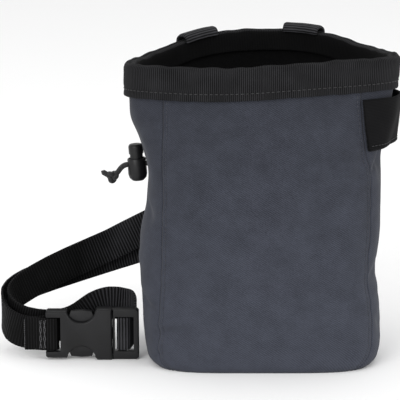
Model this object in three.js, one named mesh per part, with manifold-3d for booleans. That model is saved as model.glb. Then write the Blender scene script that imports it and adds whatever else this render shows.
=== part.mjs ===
// Climbing chalk bag with its waist belt, in millimetres, +Z up.
// +X is to the right as the bag is seen from the front, the front panel faces -Y,
// and the origin is on the floor at the middle of the canvas base.

import * as THREE from 'three';
import { mergeVertices } from 'three/addons/utils/BufferGeometryUtils.js';
import Module from 'manifold-3d';

const wasm = await Module();
wasm.setup();

// Driving dimensions of the bag
const bagHeight = 180;
const halfWidth = 70.5;
const halfDepth = 57;
const canvasThick = 1.5;
const liningThick = 1.2;
const liningGap = 0.7;
const liningLoose = 1.0;
const baseThick = 2;
const fit = 0.3;

// Rim band: a folded band over the top edges of the canvas and the lining
const bandThick = 1.6;
const bandGap = 0.6;
const bandHeight = 19;
const bandInsideHeight = 13;
const backRise = 7.2;
const frontRise = 2.6;
const frontDip = 2.2;
const rightRise = 2.2;

// Neck: height of the draw cord, and the gathers that it makes
const neckHeight = 127;
const neckSpread = 15;
const gatherCount = 12;
const gatherDepth = 1.3;

// Brush loop on the right side
const brushLoopHeight = 27.4;
const brushLoopDrop = 4.6;
const brushLoopThick = 1.8;
const brushLoopStand = 5.6;

// Belt loops on the back
const beltLoopWidth = 24;
const beltLoopThick = 1.6;
const beltLoopArch = 2.1;
const beltLoopInside = 1.4;
const beltLoopFoot = 48;
const beltLoopPlaces = { belt_loop_left: -38, belt_loop_right: 27.5 };

// Belt webbing
const webWidth = 20;
const webThick = 1.6;
const webGap = 0.4;
const beltSlack = 0.8;
const beltHeight = 78;
const beltReach = 84.5;
const beltSpread = 66;
const beltRise = 55;
const hemLength = 13;
const turnRadius = 5.5;

// Side-release buckle, lying on its edge beside the bag
const buckleWidth = 31;
const buckleThick = 9;
const femaleLength = 39.3;
const maleLength = 16;
const buckleSideGap = 1.2;
const buckleLift = 0.2;
const buckleBack = 32;
const barWidth = 4.2;
const barThick = 3.6;
const barInset = 0.6;
const strapSlot = 4;
const earHalf = 14.2;
const thumbStart = 12.6;
const prongThick = 4.4;
const thumbReach = 17;
const thumbDepth = 7;
const maleThick = 6;
const maleRoot = 1.4;
const innerSlot = 3;
const ladderBarWidth = 4;
const ladderBarThick = 2;
const outerSlot = 4.2;

// Cord lock and draw cord
const barrelRadius = 5.7;
const barrelHeight = 14;
const barrelFloor = 2.4;
const buttonRadius = 4.5;
const buttonTop = 23;
const buttonTravel = 4;
const cordHoleHeight = 10.5;
const cordRadius = 1.6;
const cordClear = 0.5;
const lockLean = 4;
const lockDrop = 23.8;
const knotRadius = 4;

// Wall sections from the floor up. 'at' is a share of the height, with the neck at neckAt; left, right
// and the two seams are shares of halfWidth; front, back and widest are shares of halfDepth. 'corner'
// is the power of the curve in front, where a higher one makes squarer corners.
const neckAt = 0.70556;
const sections = [
  // at, left, right, front, back, widest, left seam, right seam, corner
  [0.000, 0.885, 0.935, 0.965, 0.877, 0.10, 0.740, 0.766, 4.6],
  [0.014, 0.925, 0.978, 0.988, 0.912, 0.12, 0.790, 0.823, 4.5],
  [0.044, 0.955, 1.012, 1.000, 0.935, 0.14, 0.837, 0.887, 4.3],
  [0.111, 0.977, 1.016, 1.009, 0.947, 0.17, 0.844, 0.922, 4.0],
  [0.189, 0.989, 1.008, 1.017, 0.953, 0.19, 0.837, 0.915, 3.7],
  [0.278, 0.999, 0.978, 1.021, 0.953, 0.21, 0.823, 0.894, 3.4],
  [0.344, 1.001, 0.990, 1.021, 0.951, 0.21, 0.816, 0.887, 3.2],
  [0.444, 0.990, 1.006, 1.017, 0.944, 0.23, 0.813, 0.894, 3.0],
  [0.511, 0.959, 1.008, 1.014, 0.930, 0.23, 0.809, 0.894, 2.9],
  [0.578, 0.948, 1.013, 1.009, 0.918, 0.25, 0.806, 0.894, 2.8],
  [0.644, 0.950, 1.006, 1.000, 0.900, 0.26, 0.806, 0.887, 2.8],
  [0.694, 0.969, 1.005, 0.993, 0.888, 0.28, 0.806, 0.858, 2.8],
  [0.744, 1.007, 1.021, 0.993, 0.895, 0.32, 0.806, 0.838, 2.8],
  [0.811, 1.071, 1.057, 0.996, 0.939, 0.37, 0.801, 0.808, 2.8],
  [0.889, 1.092, 1.085, 1.000, 0.982, 0.42, 0.799, 0.788, 2.8],
  [0.986, 1.096, 1.106, 1.000, 1.000, 0.44, 0.799, 0.788, 2.8],
].map(([at, left, right, front, back, widest, seamLeft, seamRight, corner]) => (
  { at, left, right, front, back, widest, seamLeft, seamRight, corner }
));

// Dents in the canvas. 'around' is the share of the way round from the front centre towards +X,
// 'at' is a share of the height, depth a share of halfDepth, and the spans are shares of each.
const dents = [
  { around: 0.205, at: 0.675, depth: 0.050, spanAround: 0.030, spanUp: 0.035 },
  { around: 0.180, at: 0.300, depth: 0.026, spanAround: 0.030, spanUp: 0.050 },
  { around: 0.195, at: 0.150, depth: 0.018, spanAround: 0.024, spanUp: 0.060 },
  { around: 0.872, at: 0.110, depth: 0.020, spanAround: 0.035, spanUp: 0.022 },
  { around: 0.815, at: 0.170, depth: 0.024, spanAround: 0.022, spanUp: 0.060 },
  { around: 0.805, at: 0.505, depth: 0.030, spanAround: 0.030, spanUp: 0.032 },
  { around: 0.735, at: 0.620, depth: 0.035, spanAround: 0.035, spanUp: 0.060 },
];

// Stand-off of the belt loops from the canvas, 'at' a share of the way from the foot to the band
const loopStands = [
  { at: 0.00, stand: 0.00 },
  { at: 0.05, stand: 0.00 },
  { at: 0.13, stand: 1.20 },
  { at: 0.46, stand: 1.30 },
  { at: 0.66, stand: 1.80 },
  { at: 0.84, stand: 1.35 },
  { at: 1.00, stand: 0.55 },
];

// The belt beside the bag: 'out' is a share of beltReach beyond the bag's left side, 'back' a share
// of beltSpread behind the buckle, and 'up' a share of beltRise.
const outerStrand = [
  { out: 0.74, back: 0.012, up: 0.285 },
  { out: 0.84, back: 0.020, up: 0.300 },
  { out: 0.93, back: 0.085, up: 0.350 },
  { out: 0.985, back: 0.220, up: 0.430 },
  { out: 0.985, back: 0.400, up: 0.520 },
  { out: 0.900, back: 0.560, up: 0.600 },
  { out: 0.763, back: 0.659, up: 0.673 },
  { out: 0.527, back: 0.758, up: 0.773 },
  { out: 0.231, back: 0.870, up: 0.890 },
  { out: -0.053, back: 0.990, up: 1.000 },
];
const innerStrand = [
  { out: -0.053, back: 0.890, up: 1.240 },
  { out: 0.231, back: 0.790, up: 1.040 },
  { out: 0.527, back: 0.680, up: 0.865 },
  { out: 0.763, back: 0.575, up: 0.705 },
  { out: 0.890, back: 0.460, up: 0.600 },
  { out: 0.945, back: 0.320, up: 0.510 },
  { out: 0.915, back: 0.185, up: 0.430 },
  { out: 0.830, back: 0.110, up: 0.370 },
  { out: 0.660, back: 0.104, up: 0.330 },
  { out: 0.515, back: 0.116, up: 0.355 },
  { out: 0.420, back: 0.136, up: 0.420 },
  { out: 0.325, back: 0.167, up: 0.520 },
  { out: 0.230, back: 0.205, up: 0.560 },
];

// Shares of the way round: where the brush loop ends, where the cord lock hangs, and where the belt
// leaves the bag and turns back
const aroundPlaces = { brushLoopEnd: 0.33, cordLock: 0.735, beltLeaves: 0.618, beltTurns: 0.372 };

const backExponent = 1.9;
const ringSteps = 240;
const rimColumns = 44;
const frontColumns = 11;
const sideColumns = 52;

// Small helpers
const lerp = (a, b, t) => a + (b - a) * t;
const clamp01 = (t) => Math.min(1, Math.max(0, t));
const smooth = (t) => clamp01(t) ** 2 * (3 - 2 * clamp01(t));
const bell = (d) => Math.exp(-d * d);

function along(rows, key, at, column) {
  const next = Math.max(1, rows.findIndex((row) => row[key] >= at));
  const high = at > rows[rows.length - 1][key] ? rows.length - 1 : next;
  const t = clamp01((at - rows[high - 1][key]) / (rows[high][key] - rows[high - 1][key]));
  return lerp(rows[high - 1][column], rows[high][column], t);
}

// Share of the height at z, and the height of a share, with the neck at its own height
function shareAt(z) {
  if (z < neckHeight) return (neckAt * z) / neckHeight;
  return lerp(neckAt, 1, (z - neckHeight) / (bagHeight - neckHeight));
}

function heightOf(share) {
  if (share < neckAt) return (neckHeight * share) / neckAt;
  return lerp(neckHeight, bagHeight, (share - neckAt) / (1 - neckAt));
}

// Plan outline of the canvas at one height: a soft D, flat in front and round behind
const rings = new Map();
function ring(z) {
  if (rings.has(z)) return rings.get(z);
  const at = shareAt(z);
  const left = along(sections, 'at', at, 'left') * halfWidth;
  const right = along(sections, 'at', at, 'right') * halfWidth;
  const front = -along(sections, 'at', at, 'front') * halfDepth;
  const back = along(sections, 'at', at, 'back') * halfDepth;
  const widest = -along(sections, 'at', at, 'widest') * halfDepth;
  const corner = along(sections, 'at', at, 'corner');
  const points = [];
  for (let i = 0; i <= ringSteps; i++) {
    const angle = -Math.PI / 2 + (2 * Math.PI * i) / ringSteps;
    const c = Math.cos(angle);
    const s = Math.sin(angle);
    const power = 2 / (s < 0 ? corner : backExponent);
    const x = Math.sign(c) * (c > 0 ? right : left) * Math.abs(c) ** power;
    const y = widest + (s < 0 ? front - widest : back - widest) * Math.abs(s) ** power;
    points.push(new THREE.Vector2(x, y));
  }
  const lengths = [0];
  for (let i = 1; i <= ringSteps; i++) {
    lengths.push(lengths[i - 1] + points[i].distanceTo(points[i - 1]));
  }
  const made = { points, lengths, length: lengths[ringSteps] };
  rings.set(z, made);
  return made;
}

function plan(around, z) {
  const { points, lengths, length } = ring(z);
  const find = (share) => {
    const want = (share - Math.floor(share)) * length;
    const i = Math.max(1, lengths.findIndex((value) => value >= want));
    const t = (want - lengths[i - 1]) / (lengths[i] - lengths[i - 1]);
    return points[i - 1].clone().lerp(points[i], t);
  };
  const step = 0.006;
  const tangent = find(around + step).sub(find(around - step)).normalize();
  const place = find(around);
  return { x: place.x, y: place.y, nx: tangent.y, ny: -tangent.x };
}

// Share of the way round at which the front half of the outline reaches x
function aroundAt(x, z) {
  const { points, lengths, length } = ring(z);
  const order = x > 0 ? [...points.keys()] : [...points.keys()].reverse();
  const i = order.find((k) => Math.abs(points[k].x) >= Math.abs(x) && points[k].x * x > 0);
  return lengths[i] / length - (x < 0 ? 1 : 0);
}

function gather(around, z) {
  const behind = smooth((Math.abs(around - 0.5) - 0.36) / -0.06);
  const wave = Math.cos(2 * Math.PI * gatherCount * around);
  return gatherDepth * behind * wave * bell((z - neckHeight) / neckSpread);
}

function dent(around, z) {
  const turn = around - Math.floor(around);
  return dents.reduce((sum, row) => {
    const sideways = (turn - row.around) / row.spanAround;
    const upwards = (shareAt(z) - row.at) / row.spanUp;
    return sum - row.depth * halfDepth * bell(sideways) * bell(upwards);
  }, 0);
}

// Height that the mouth gains: most at the back, less in front with a dip there, a little on the right
function rise(x, y, z) {
  const share = smooth((shareAt(z) - 0.66) / 0.22);
  const back = backRise * smooth(y / halfDepth) ** 2;
  const dip = frontDip * bell((x + 0.25 * halfWidth) / (0.6 * halfWidth));
  const front = (frontRise - dip) * smooth(-y / halfDepth);
  return share * (back + front + (rightRise * x) / halfWidth);
}

// A point of the bag at a distance outside (or, negative, inside) the canvas' outer face
function wall(around, z, out = 0, gathers = 1) {
  const p = plan(around, z);
  const push = out + gathers * gather(around, z) + dent(around, z);
  return new THREE.Vector3(p.x + p.nx * push, p.y + p.ny * push, z + rise(p.x, p.y, z));
}

// Mesh building
class Triangles {
  constructor() {
    this.list = [];
  }

  add(a, b, c) {
    this.list.push(a, b, c);
  }

  quad(a, b, c, d) {
    this.add(a, b, c);
    this.add(a, c, d);
  }

  // A strip of quads between two rows of points
  strip(first, second, closed = false) {
    const count = first.length;
    for (let i = 0; i < (closed ? count : count - 1); i++) {
      const j = (i + 1) % count;
      this.quad(first[i], first[j], second[j], second[i]);
    }
  }

  // Closed fan over a loop of points
  fan(loop, centre, flip) {
    loop.forEach((point, i) => {
      const after = loop[(i + 1) % loop.length];
      this.add(centre, flip ? after : point, flip ? point : after);
    });
  }

  geometry() {
    const { list } = this;
    let volume = 0;
    for (let i = 0; i < list.length; i += 3) {
      volume += list[i].dot(list[i + 1].clone().cross(list[i + 2]));
    }
    if (volume < 0) {
      for (let i = 0; i < list.length; i += 3) [list[i + 1], list[i + 2]] = [list[i + 2], list[i + 1]];
    }
    return new THREE.BufferGeometry().setFromPoints(list);
  }
}

// Solid between two open sheets, each a list of columns of points
function sheetSolid(outer, inner) {
  const made = new Triangles();
  const last = outer.length - 1;
  for (let i = 0; i < last; i++) {
    made.strip(outer[i], outer[i + 1]);
    made.strip(inner[i + 1], inner[i]);
    const top = outer[i].length - 1;
    made.quad(outer[i][0], outer[i + 1][0], inner[i + 1][0], inner[i][0]);
    made.quad(outer[i + 1][top], outer[i][top], inner[i][top], inner[i + 1][top]);
  }
  made.strip(inner[0], outer[0]);
  made.strip(outer[last], inner[last]);
  return made.geometry();
}

// Solid swept through cross-sections, each a convex loop of points
function sweptSolid(loops, closed = false) {
  const made = new Triangles();
  for (let i = 0; i < (closed ? loops.length : loops.length - 1); i++) {
    made.strip(loops[i], loops[(i + 1) % loops.length], true);
  }
  if (!closed) {
    const sum = (loop) => loop.reduce((total, p) => total.add(p), new THREE.Vector3());
    const middle = (loop) => sum(loop).divideScalar(loop.length);
    made.fan(loops[0], middle(loops[0]), true);
    made.fan(loops[loops.length - 1], middle(loops[loops.length - 1]), false);
  }
  return made.geometry();
}

function toManifold(geometry) {
  const bare = geometry.clone();
  bare.deleteAttribute('normal');
  bare.deleteAttribute('uv');
  const merged = mergeVertices(bare, 1e-4);
  const vertProperties = new Float32Array(merged.attributes.position.array);
  const triVerts = new Uint32Array(merged.index.array);
  return new wasm.Manifold(new wasm.Mesh({ numProp: 3, vertProperties, triVerts }));
}

function fromManifold(solid) {
  const { vertProperties, triVerts } = solid.getMesh();
  const geometry = new THREE.BufferGeometry();
  geometry.setAttribute('position', new THREE.BufferAttribute(new Float32Array(vertProperties), 3));
  geometry.setIndex(new THREE.BufferAttribute(new Uint32Array(triVerts), 1));
  return geometry;
}

function material(color, roughness, metalness = 0) {
  return new THREE.MeshStandardMaterial({ color, roughness, metalness });
}

const canvas = material('#464a56', 0.9);
const blackBand = material('#29292b', 0.8);
const blackFleece = material('#1c1c1e', 0.95);
const blackWebbing = material('#2b2b2e', 0.7);
const blackPlastic = material('#303133', 0.45);

const chalkBag = new THREE.Group();

function addPiece(name, geometry, finish, parent = chalkBag) {
  const mesh = new THREE.Mesh(geometry, finish);
  mesh.name = name;
  parent.add(mesh);
  return mesh;
}

// Canvas walls
const rowHeights = sections.map((row) => heightOf(row.at));
const topEdge = rowHeights[rowHeights.length - 1];

function seamAround(z, side) {
  const share = along(sections, 'at', shareAt(z), side < 0 ? 'seamLeft' : 'seamRight');
  return aroundAt(side * share * halfWidth, z);
}

function panel(columns, start, end) {
  const sheets = [0, -canvasThick].map((out) => Array.from({ length: columns + 1 }, (_, j) => (
    rowHeights.map((z) => wall(lerp(start(z), end(z), j / columns), z, out))
  )));
  return sheetSolid(sheets[0], sheets[1]);
}

const seamGap = (z) => fit / ring(z).length;
addPiece('front_panel', panel(frontColumns, (z) => seamAround(z, -1), (z) => seamAround(z, 1)), canvas);
addPiece('side_back_panel', panel(
  sideColumns,
  (z) => seamAround(z, 1) + seamGap(z),
  (z) => seamAround(z, -1) + 1 - seamGap(z),
), canvas);

// Base panel, set inside the walls
{
  const inset = -canvasThick - 2 * fit;
  const shape = new THREE.Shape(Array.from({ length: rimColumns }, (_, i) => {
    const p = wall(i / rimColumns, 0, inset);
    return new THREE.Vector2(p.x, p.y);
  }));
  addPiece('base_panel', new THREE.ExtrudeGeometry(shape, { depth: baseThick, bevelEnabled: false }), canvas);
}

// Lining: an open bag inside the canvas, slacker below the band than in it
const bandFoot = bagHeight - bandHeight;
function liningSlack(z) {
  const loose = liningLoose * smooth((bandFoot - z) / neckSpread);
  return liningGap + loose + gatherDepth * bell((z - neckHeight) / (1.4 * neckSpread));
}

{
  const columns = rimColumns;
  const floor = baseThick + fit;
  const heights = [floor, ...rowHeights.slice(2)];
  const sheet = (out) => heights.map((z, i) => Array.from({ length: columns }, (_, j) => {
    const point = wall(j / columns, z, -canvasThick - liningSlack(z) - out, 0);
    return i ? point : point.setZ(floor + out);
  }));
  const outer = sheet(0);
  const inner = sheet(liningThick);
  const made = new Triangles();
  for (let i = 0; i < heights.length - 1; i++) {
    made.strip(outer[i], outer[i + 1], true);
    made.strip(inner[i + 1], inner[i], true);
  }
  const last = heights.length - 1;
  made.strip(outer[last], inner[last], true);
  made.fan(outer[0], new THREE.Vector3(0, 0, floor), true);
  made.fan(inner[0], new THREE.Vector3(0, 0, floor + liningThick), false);
  addPiece('lining', made.geometry(), blackFleece);
}

// Rim band: a U-shaped section carried round the mouth. Each row of the section is a distance
// outside the canvas and a height over the top edge of the canvas.
const bandInner = canvasThick + liningGap + liningThick + bandGap;
const bandTop = bagHeight - topEdge;
const bandSection = [
  { out: bandGap + bandThick, up: bandFoot - topEdge },
  { out: bandGap + bandThick, up: bandTop - 1.5 * bandThick },
  { out: bandGap + 0.5 * bandThick, up: bandTop - 0.4 * bandThick },
  { out: bandGap - 0.5 * bandThick, up: bandTop },
  { out: -bandInner + 0.5 * bandThick, up: bandTop },
  { out: -bandInner - 0.5 * bandThick, up: bandTop - 0.4 * bandThick },
  { out: -bandInner - bandThick, up: bandTop - 1.5 * bandThick },
  { out: -bandInner - bandThick, up: bandTop - bandInsideHeight },
  { out: -bandInner, up: bandTop - bandInsideHeight },
  { out: -bandInner, up: fit },
  { out: bandGap, up: fit },
  { out: bandGap, up: bandFoot - topEdge },
];
{
  const columns = rimColumns;
  const loops = Array.from({ length: columns }, (_, j) => {
    return bandSection.map(({ out, up }) => {
      const z = topEdge + Math.min(up, 0);
      const p = wall(j / columns, z, out, 0);
      p.z += Math.max(up, 0);
      return p;
    });
  });
  addPiece('rim_band', sweptSolid(loops, true), blackBand);
}

// Brush loop: a band sewn down at both ends that stands off the right side between them
{
  const columns = 14;
  const rows = 5;
  const top = bandFoot - brushLoopDrop;
  const sheet = (out) => Array.from({ length: columns + 1 }, (_, j) => {
    const t = j / columns;
    const stand = smooth((Math.min(t, 1 - t) - 0.04) / 0.3) * lerp(0.36, 1, smooth((t - 0.3) / 0.3));
    return Array.from({ length: rows + 1 }, (_, i) => {
      const z = top - (brushLoopHeight * i) / rows;
      const around = lerp(seamAround(z, 1) + 2 * seamGap(z), aroundPlaces.brushLoopEnd, t);
      const high = wall(around, top, out + fit + brushLoopStand * stand, 0);
      const near = wall(around, z, out + 2 * fit + brushLoopStand * stand, 1);
      const point = near.clone().lerp(high, 0.6 * stand);
      return point.setZ(near.z);
    });
  });
  addPiece('brush_loop', sheetSolid(sheet(brushLoopThick), sheet(0)), blackBand);
}

// Belt loops: straps from the foot on the back, up outside the band, arched over the rim
const loopLow = webThick + 2 * webGap + beltSlack;
function loopStand(z) {
  const at = (z - beltLoopFoot) / (bandFoot - beltLoopFoot);
  return fit + along(loopStands, 'at', at, 'stand') * (loopLow + fit);
}

// Share of the way round at which the back half of the band reaches x
function backAroundAt(x) {
  const { points, lengths, length } = ring(bandFoot);
  const i = points.findIndex((p, k) => k > ringSteps / 4 && p.y > 0 && p.x <= x);
  return lengths[i] / length;
}

for (const [name, x] of Object.entries(beltLoopPlaces)) {
  const columns = 4;
  const rows = 14;
  const arcSteps = 7;
  const middle = backAroundAt(x);
  const span = beltLoopWidth / ring(bandFoot).length;
  const archFoot = 0.6;
  const outside = bandGap + bandThick + fit;
  const inside = -bandInner - bandThick - fit;
  const sheet = (out) => Array.from({ length: columns + 1 }, (_, j) => {
    const around = middle + span * (j / columns - 0.5);
    const points = [];
    for (let i = 0; i < rows; i++) {
      const z = lerp(beltLoopFoot, bandFoot, i / rows);
      const overGathers = 1.2 * gatherDepth * bell((z - neckHeight) / (1.33 * neckSpread));
      points.push(wall(around, z, Math.max(loopStand(z), overGathers) + out, 0));
    }
    points.push(wall(around, bandFoot, outside + out, 0));
    const radius = (outside - inside) / 2;
    const centre = (outside + inside) / 2;
    for (let i = 0; i <= arcSteps; i++) {
      const angle = (Math.PI * i) / arcSteps;
      const p = wall(around, topEdge, centre + (radius + out) * Math.cos(angle), 0);
      p.z += bandTop - archFoot + (beltLoopArch + archFoot + out) * Math.sin(angle);
      points.push(p);
    }
    const end = wall(around, topEdge, inside - out, 0);
    end.z += bandTop - beltLoopInside;
    points.push(end);
    return points;
  });
  addPiece(name, sheetSolid(sheet(beltLoopThick), sheet(0)), blackWebbing);
}

// Buckle, drawn flat as length along x and width along y, then stood on its edge
const buckleLength = femaleLength + maleLength;
const buckleX = -halfWidth - buckleSideGap - buckleLength;
const buckleY = -halfDepth + buckleBack;
const buckleZ = buckleLift + buckleWidth / 2;
const slotHalf = webWidth / 2 + 2 * fit;
const barEnd = barInset + barWidth;
const slotEnd = barEnd + strapSlot;

function plate(shape, thick, bevel = 0) {
  const geometry = new THREE.ExtrudeGeometry(shape, {
    depth: thick - 2 * bevel,
    bevelEnabled: bevel > 0,
    bevelThickness: bevel,
    bevelSize: bevel,
    bevelOffset: -bevel,
    bevelSegments: 1,
    curveSegments: 7,
  });
  return toManifold(geometry.translate(0, 0, bevel - thick / 2));
}

function block(x0, x1, y0, y1, z0, z1) {
  const geometry = new THREE.BoxGeometry(x1 - x0, y1 - y0, z1 - z0);
  return toManifold(geometry.translate((x0 + x1) / 2, (y0 + y1) / 2, (z0 + z1) / 2));
}

function standBuckle(name, solid) {
  const mesh = addPiece(name, fromManifold(solid), blackPlastic);
  mesh.rotation.x = Math.PI / 2;
  mesh.position.set(buckleX, buckleY, buckleZ);
}

{
  const radius = (thumbReach ** 2 / 4 + thumbDepth ** 2) / (2 * thumbDepth);
  const thumbMiddle = thumbStart + thumbReach / 2;
  const arcHeight = earHalf + radius - thumbDepth;
  const open = Math.asin((radius - thumbDepth) / radius);
  const half = buckleWidth / 2;
  const shoulder = thumbStart + thumbReach + 1;
  const shape = new THREE.Shape();
  shape.moveTo(0, earHalf - 1);
  shape.lineTo(1, earHalf);
  shape.absarc(thumbMiddle, arcHeight, radius, Math.PI + open, 2 * Math.PI - open, false);
  shape.lineTo(shoulder, half);
  shape.lineTo(femaleLength, half);
  shape.lineTo(femaleLength, -half);
  shape.lineTo(shoulder, -half);
  shape.absarc(thumbMiddle, -arcHeight, radius, open, Math.PI - open, false);
  shape.lineTo(1, -earHalf);
  shape.lineTo(0, 1 - earHalf);
  const cavity = earHalf - 1.4;
  const mouth = prongThick / 2 + fit;
  const deep = buckleThick;
  const female = plate(shape, buckleThick, 0.8)
    .subtract(block(barEnd, slotEnd, -slotHalf, slotHalf, -deep, deep))
    .subtract(block(-1, slotEnd, -slotHalf, slotHalf, barThick / 2, deep))
    .subtract(block(-1, slotEnd, -slotHalf, slotHalf, -deep, -barThick / 2))
    .subtract(block(thumbStart + 1, femaleLength + 1, -cavity, cavity, -mouth, mouth));
  standBuckle('buckle_female', female);

  const start = femaleLength + fit;
  const frame = new THREE.Shape();
  frame.moveTo(start, -half);
  frame.lineTo(buckleLength - 1.5, -half);
  frame.lineTo(buckleLength, 1.5 - half);
  frame.lineTo(buckleLength, half - 1.5);
  frame.lineTo(buckleLength - 1.5, half);
  frame.lineTo(start, half);
  const slotStart = start + maleRoot;
  const ladderStart = slotStart + innerSlot;
  const ladderEnd = ladderStart + ladderBarWidth;
  const recess = ladderBarThick / 2;
  let male = plate(frame, maleThick, 0.6)
    .subtract(block(slotStart, ladderStart, -slotHalf, slotHalf, -deep, deep))
    .subtract(block(ladderEnd, ladderEnd + outerSlot, -slotHalf, slotHalf, -deep, deep))
    .subtract(block(slotStart, ladderEnd, -slotHalf, slotHalf, recess, deep))
    .subtract(block(slotStart, ladderEnd, -slotHalf, slotHalf, -deep, -recess))
    .add(block(thumbMiddle, start + 0.5, -3, 3, -prongThick / 2, prongThick / 2));
  for (const side of [-1, 1]) {
    const arm = new THREE.Shape();
    const tab = thumbStart + 1 + fit;
    const tabEnd = thumbStart + thumbReach - 1 - fit;
    arm.moveTo(tab, side * (earHalf - 3.2));
    arm.lineTo(tab + 1, side * (earHalf - 0.6));
    arm.lineTo(thumbMiddle, side * earHalf);
    arm.lineTo(tabEnd - 1, side * (earHalf - 0.6));
    arm.lineTo(tabEnd, side * (earHalf - 3.2));
    arm.lineTo(start + 0.5, side * (earHalf - 2));
    arm.lineTo(start + 0.5, side * (earHalf - 4.8));
    arm.lineTo(tabEnd, side * (earHalf - 6));
    arm.lineTo(thumbMiddle, side * (earHalf - thumbDepth - 2));
    arm.lineTo(tab, side * (earHalf - thumbDepth));
    male = male.add(plate(arm, prongThick));
  }
  standBuckle('buckle_male', male);
}

// Belt webbing: from its sewn hem round the bar of the female part, round the left bend as the outer
// strand, behind the bag and both belt loops, back through the loops, round the bend again as the
// inner strand, behind the buckle, and over the ladder bar of the male part to its tail.
{
  const stations = [];
  const at = (x, y, z, shear = 0) => stations.push({ place: new THREE.Vector3(x, y, z), shear });
  const besideBag = ({ out, back, up }) => at(
    -halfWidth - out * beltReach,
    buckleY + back * beltSpread,
    up * beltRise,
  );
  const wrap = barThick / 2 + webGap + webThick / 2;
  const layer = webThick + webGap;
  const barMiddle = buckleX + barEnd - 0.3;
  const hemStart = buckleX - hemLength;
  at(hemStart, buckleY + 0.9 - layer, buckleZ);
  at(hemStart + 0.5 * hemLength, buckleY + 0.75 - layer, buckleZ);
  at(buckleX - 2, buckleY - 0.8 * wrap, buckleZ);
  for (let i = 0; i <= 6; i++) {
    const angle = -Math.PI / 2 + (Math.PI * i) / 6;
    at(barMiddle + 0.92 * wrap * Math.cos(angle), buckleY + wrap * Math.sin(angle), buckleZ);
  }
  at(buckleX - 1, buckleY + 0.85 * wrap, buckleZ);
  outerStrand.forEach(besideBag);

  const throughLoops = 4 * fit + webGap + webThick / 2;
  const outsideLoops = throughLoops + loopLow + beltLoopThick + 2 * fit;
  const { beltLeaves: leave, beltTurns: turn } = aroundPlaces;
  const steps = 8;
  for (let i = 0; i <= steps; i++) {
    const z = lerp(1.13 * beltRise, beltHeight, i / steps);
    const p = wall(lerp(leave, turn, i / steps), z, outsideLoops, 0);
    at(p.x, p.y, z);
  }
  const middle = (outsideLoops + throughLoops) / 2;
  const bend = (outsideLoops - throughLoops) / 2;
  for (let i = 1; i < 5; i++) {
    const angle = Math.PI / 2 - (Math.PI * i) / 5;
    const around = turn - (bend * Math.cos(angle)) / ring(beltHeight).length;
    const p = wall(around, beltHeight, middle + bend * Math.sin(angle), 0);
    at(p.x, p.y, beltHeight);
  }
  for (let i = 0; i <= steps; i++) {
    const z = lerp(beltHeight, 1.36 * beltRise, i / steps);
    const p = wall(lerp(turn, leave, i / steps), z, throughLoops, 0);
    at(p.x, p.y, z);
  }
  innerStrand.forEach(besideBag);

  const ladderX = buckleX + femaleLength + fit + maleRoot + innerSlot + ladderBarWidth / 2;
  const ladderHalf = ladderBarWidth / 2 + webGap + webThick / 2;
  const strapOff = webGap + webThick / 2;
  const turnX = buckleX + buckleLength - 2.2 - turnRadius;
  const turnY = buckleY + maleThick / 2 + 1 + turnRadius;
  const drop = 0.53 * beltRise - buckleZ;
  for (const { halfTurns, fall } of [
    { halfTurns: 0.5, fall: 0 }, { halfTurns: 0.28, fall: 0.06 },
    { halfTurns: 0.055, fall: 0.32 }, { halfTurns: -0.167, fall: 0.8 },
  ]) {
    const a = halfTurns * Math.PI;
    at(turnX + turnRadius * Math.cos(a), turnY + turnRadius * Math.sin(a), buckleZ + drop * (1 - fall), 1);
  }
  at(ladderX + ladderHalf + 0.9, buckleY + maleThick / 2 - 0.1, buckleZ, 1);
  for (const { side, face, from, to } of [
    { side: 1, face: -1, from: 0, to: -0.5 },
    { side: -1, face: -1, from: -0.5, to: -1 },
    { side: -1, face: 1, from: -1, to: -1.28 },
  ]) {
    for (const t of [0, 0.5, 1]) {
      const a = lerp(from, to, t) * Math.PI;
      const x = ladderX + (side * ladderBarWidth) / 2 + strapOff * Math.cos(a);
      at(x, buckleY + (face * ladderBarThick) / 2 + strapOff * Math.sin(a), buckleZ);
    }
  }
  at(ladderX - 0.5 * ladderHalf, buckleY + maleThick / 2 + webThick, buckleZ);
  at(ladderX + 0.25 * ladderHalf, buckleY + maleThick / 2 + 2 * webThick, buckleZ);

  const path = new THREE.CatmullRomCurve3(stations.map(({ place }) => place), false, 'centripetal');
  const last = stations.length - 1;
  const split = 2;
  const loops = Array.from({ length: last * split + 1 }, (_, i) => {
    const centre = path.getPoint(i / (last * split));
    const tangent = path.getTangent(i / (last * split));
    const shear = lerp(stations[Math.floor(i / split)].shear, stations[Math.ceil(i / split)].shear, 0.5);
    const across = new THREE.Vector3(tangent.y, -tangent.x, 0).normalize();
    const up = across.clone().cross(tangent).normalize();
    up.multiplyScalar(Math.sign(up.z)).lerp(new THREE.Vector3(0, 0, 1), shear).normalize();
    return [[1, 1], [-1, 1], [-1, -1], [1, -1]].map(([side, high]) => (
      centre.clone().addScaledVector(across, (side * webThick) / 2).addScaledVector(up, (high * webWidth) / 2)
    ));
  });
  addPiece('belt_webbing', sweptSolid(loops), blackWebbing);
}

// Cord lock: a bullet-shaped barrel with a spring button, on the draw cord at the neck
const lockGroup = new THREE.Group();
const besideLock = (up) => wall(aroundPlaces.cordLock, neckHeight - lockDrop + up, fit);
const lockFoot = besideLock(0);
lockFoot.x = Math.min(...[0, 0.3, 0.6, 0.87].map((share) => besideLock(share * buttonTop).x)) - barrelRadius;
lockGroup.position.copy(lockFoot);
lockGroup.rotation.y = (-lockLean * Math.PI) / 180;
chalkBag.add(lockGroup);

function turned(profile, steps) {
  const points = profile.map(([radius, height]) => new THREE.Vector2(radius, height));
  return toManifold(new THREE.LatheGeometry(points, steps).rotateX(Math.PI / 2));
}

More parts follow.
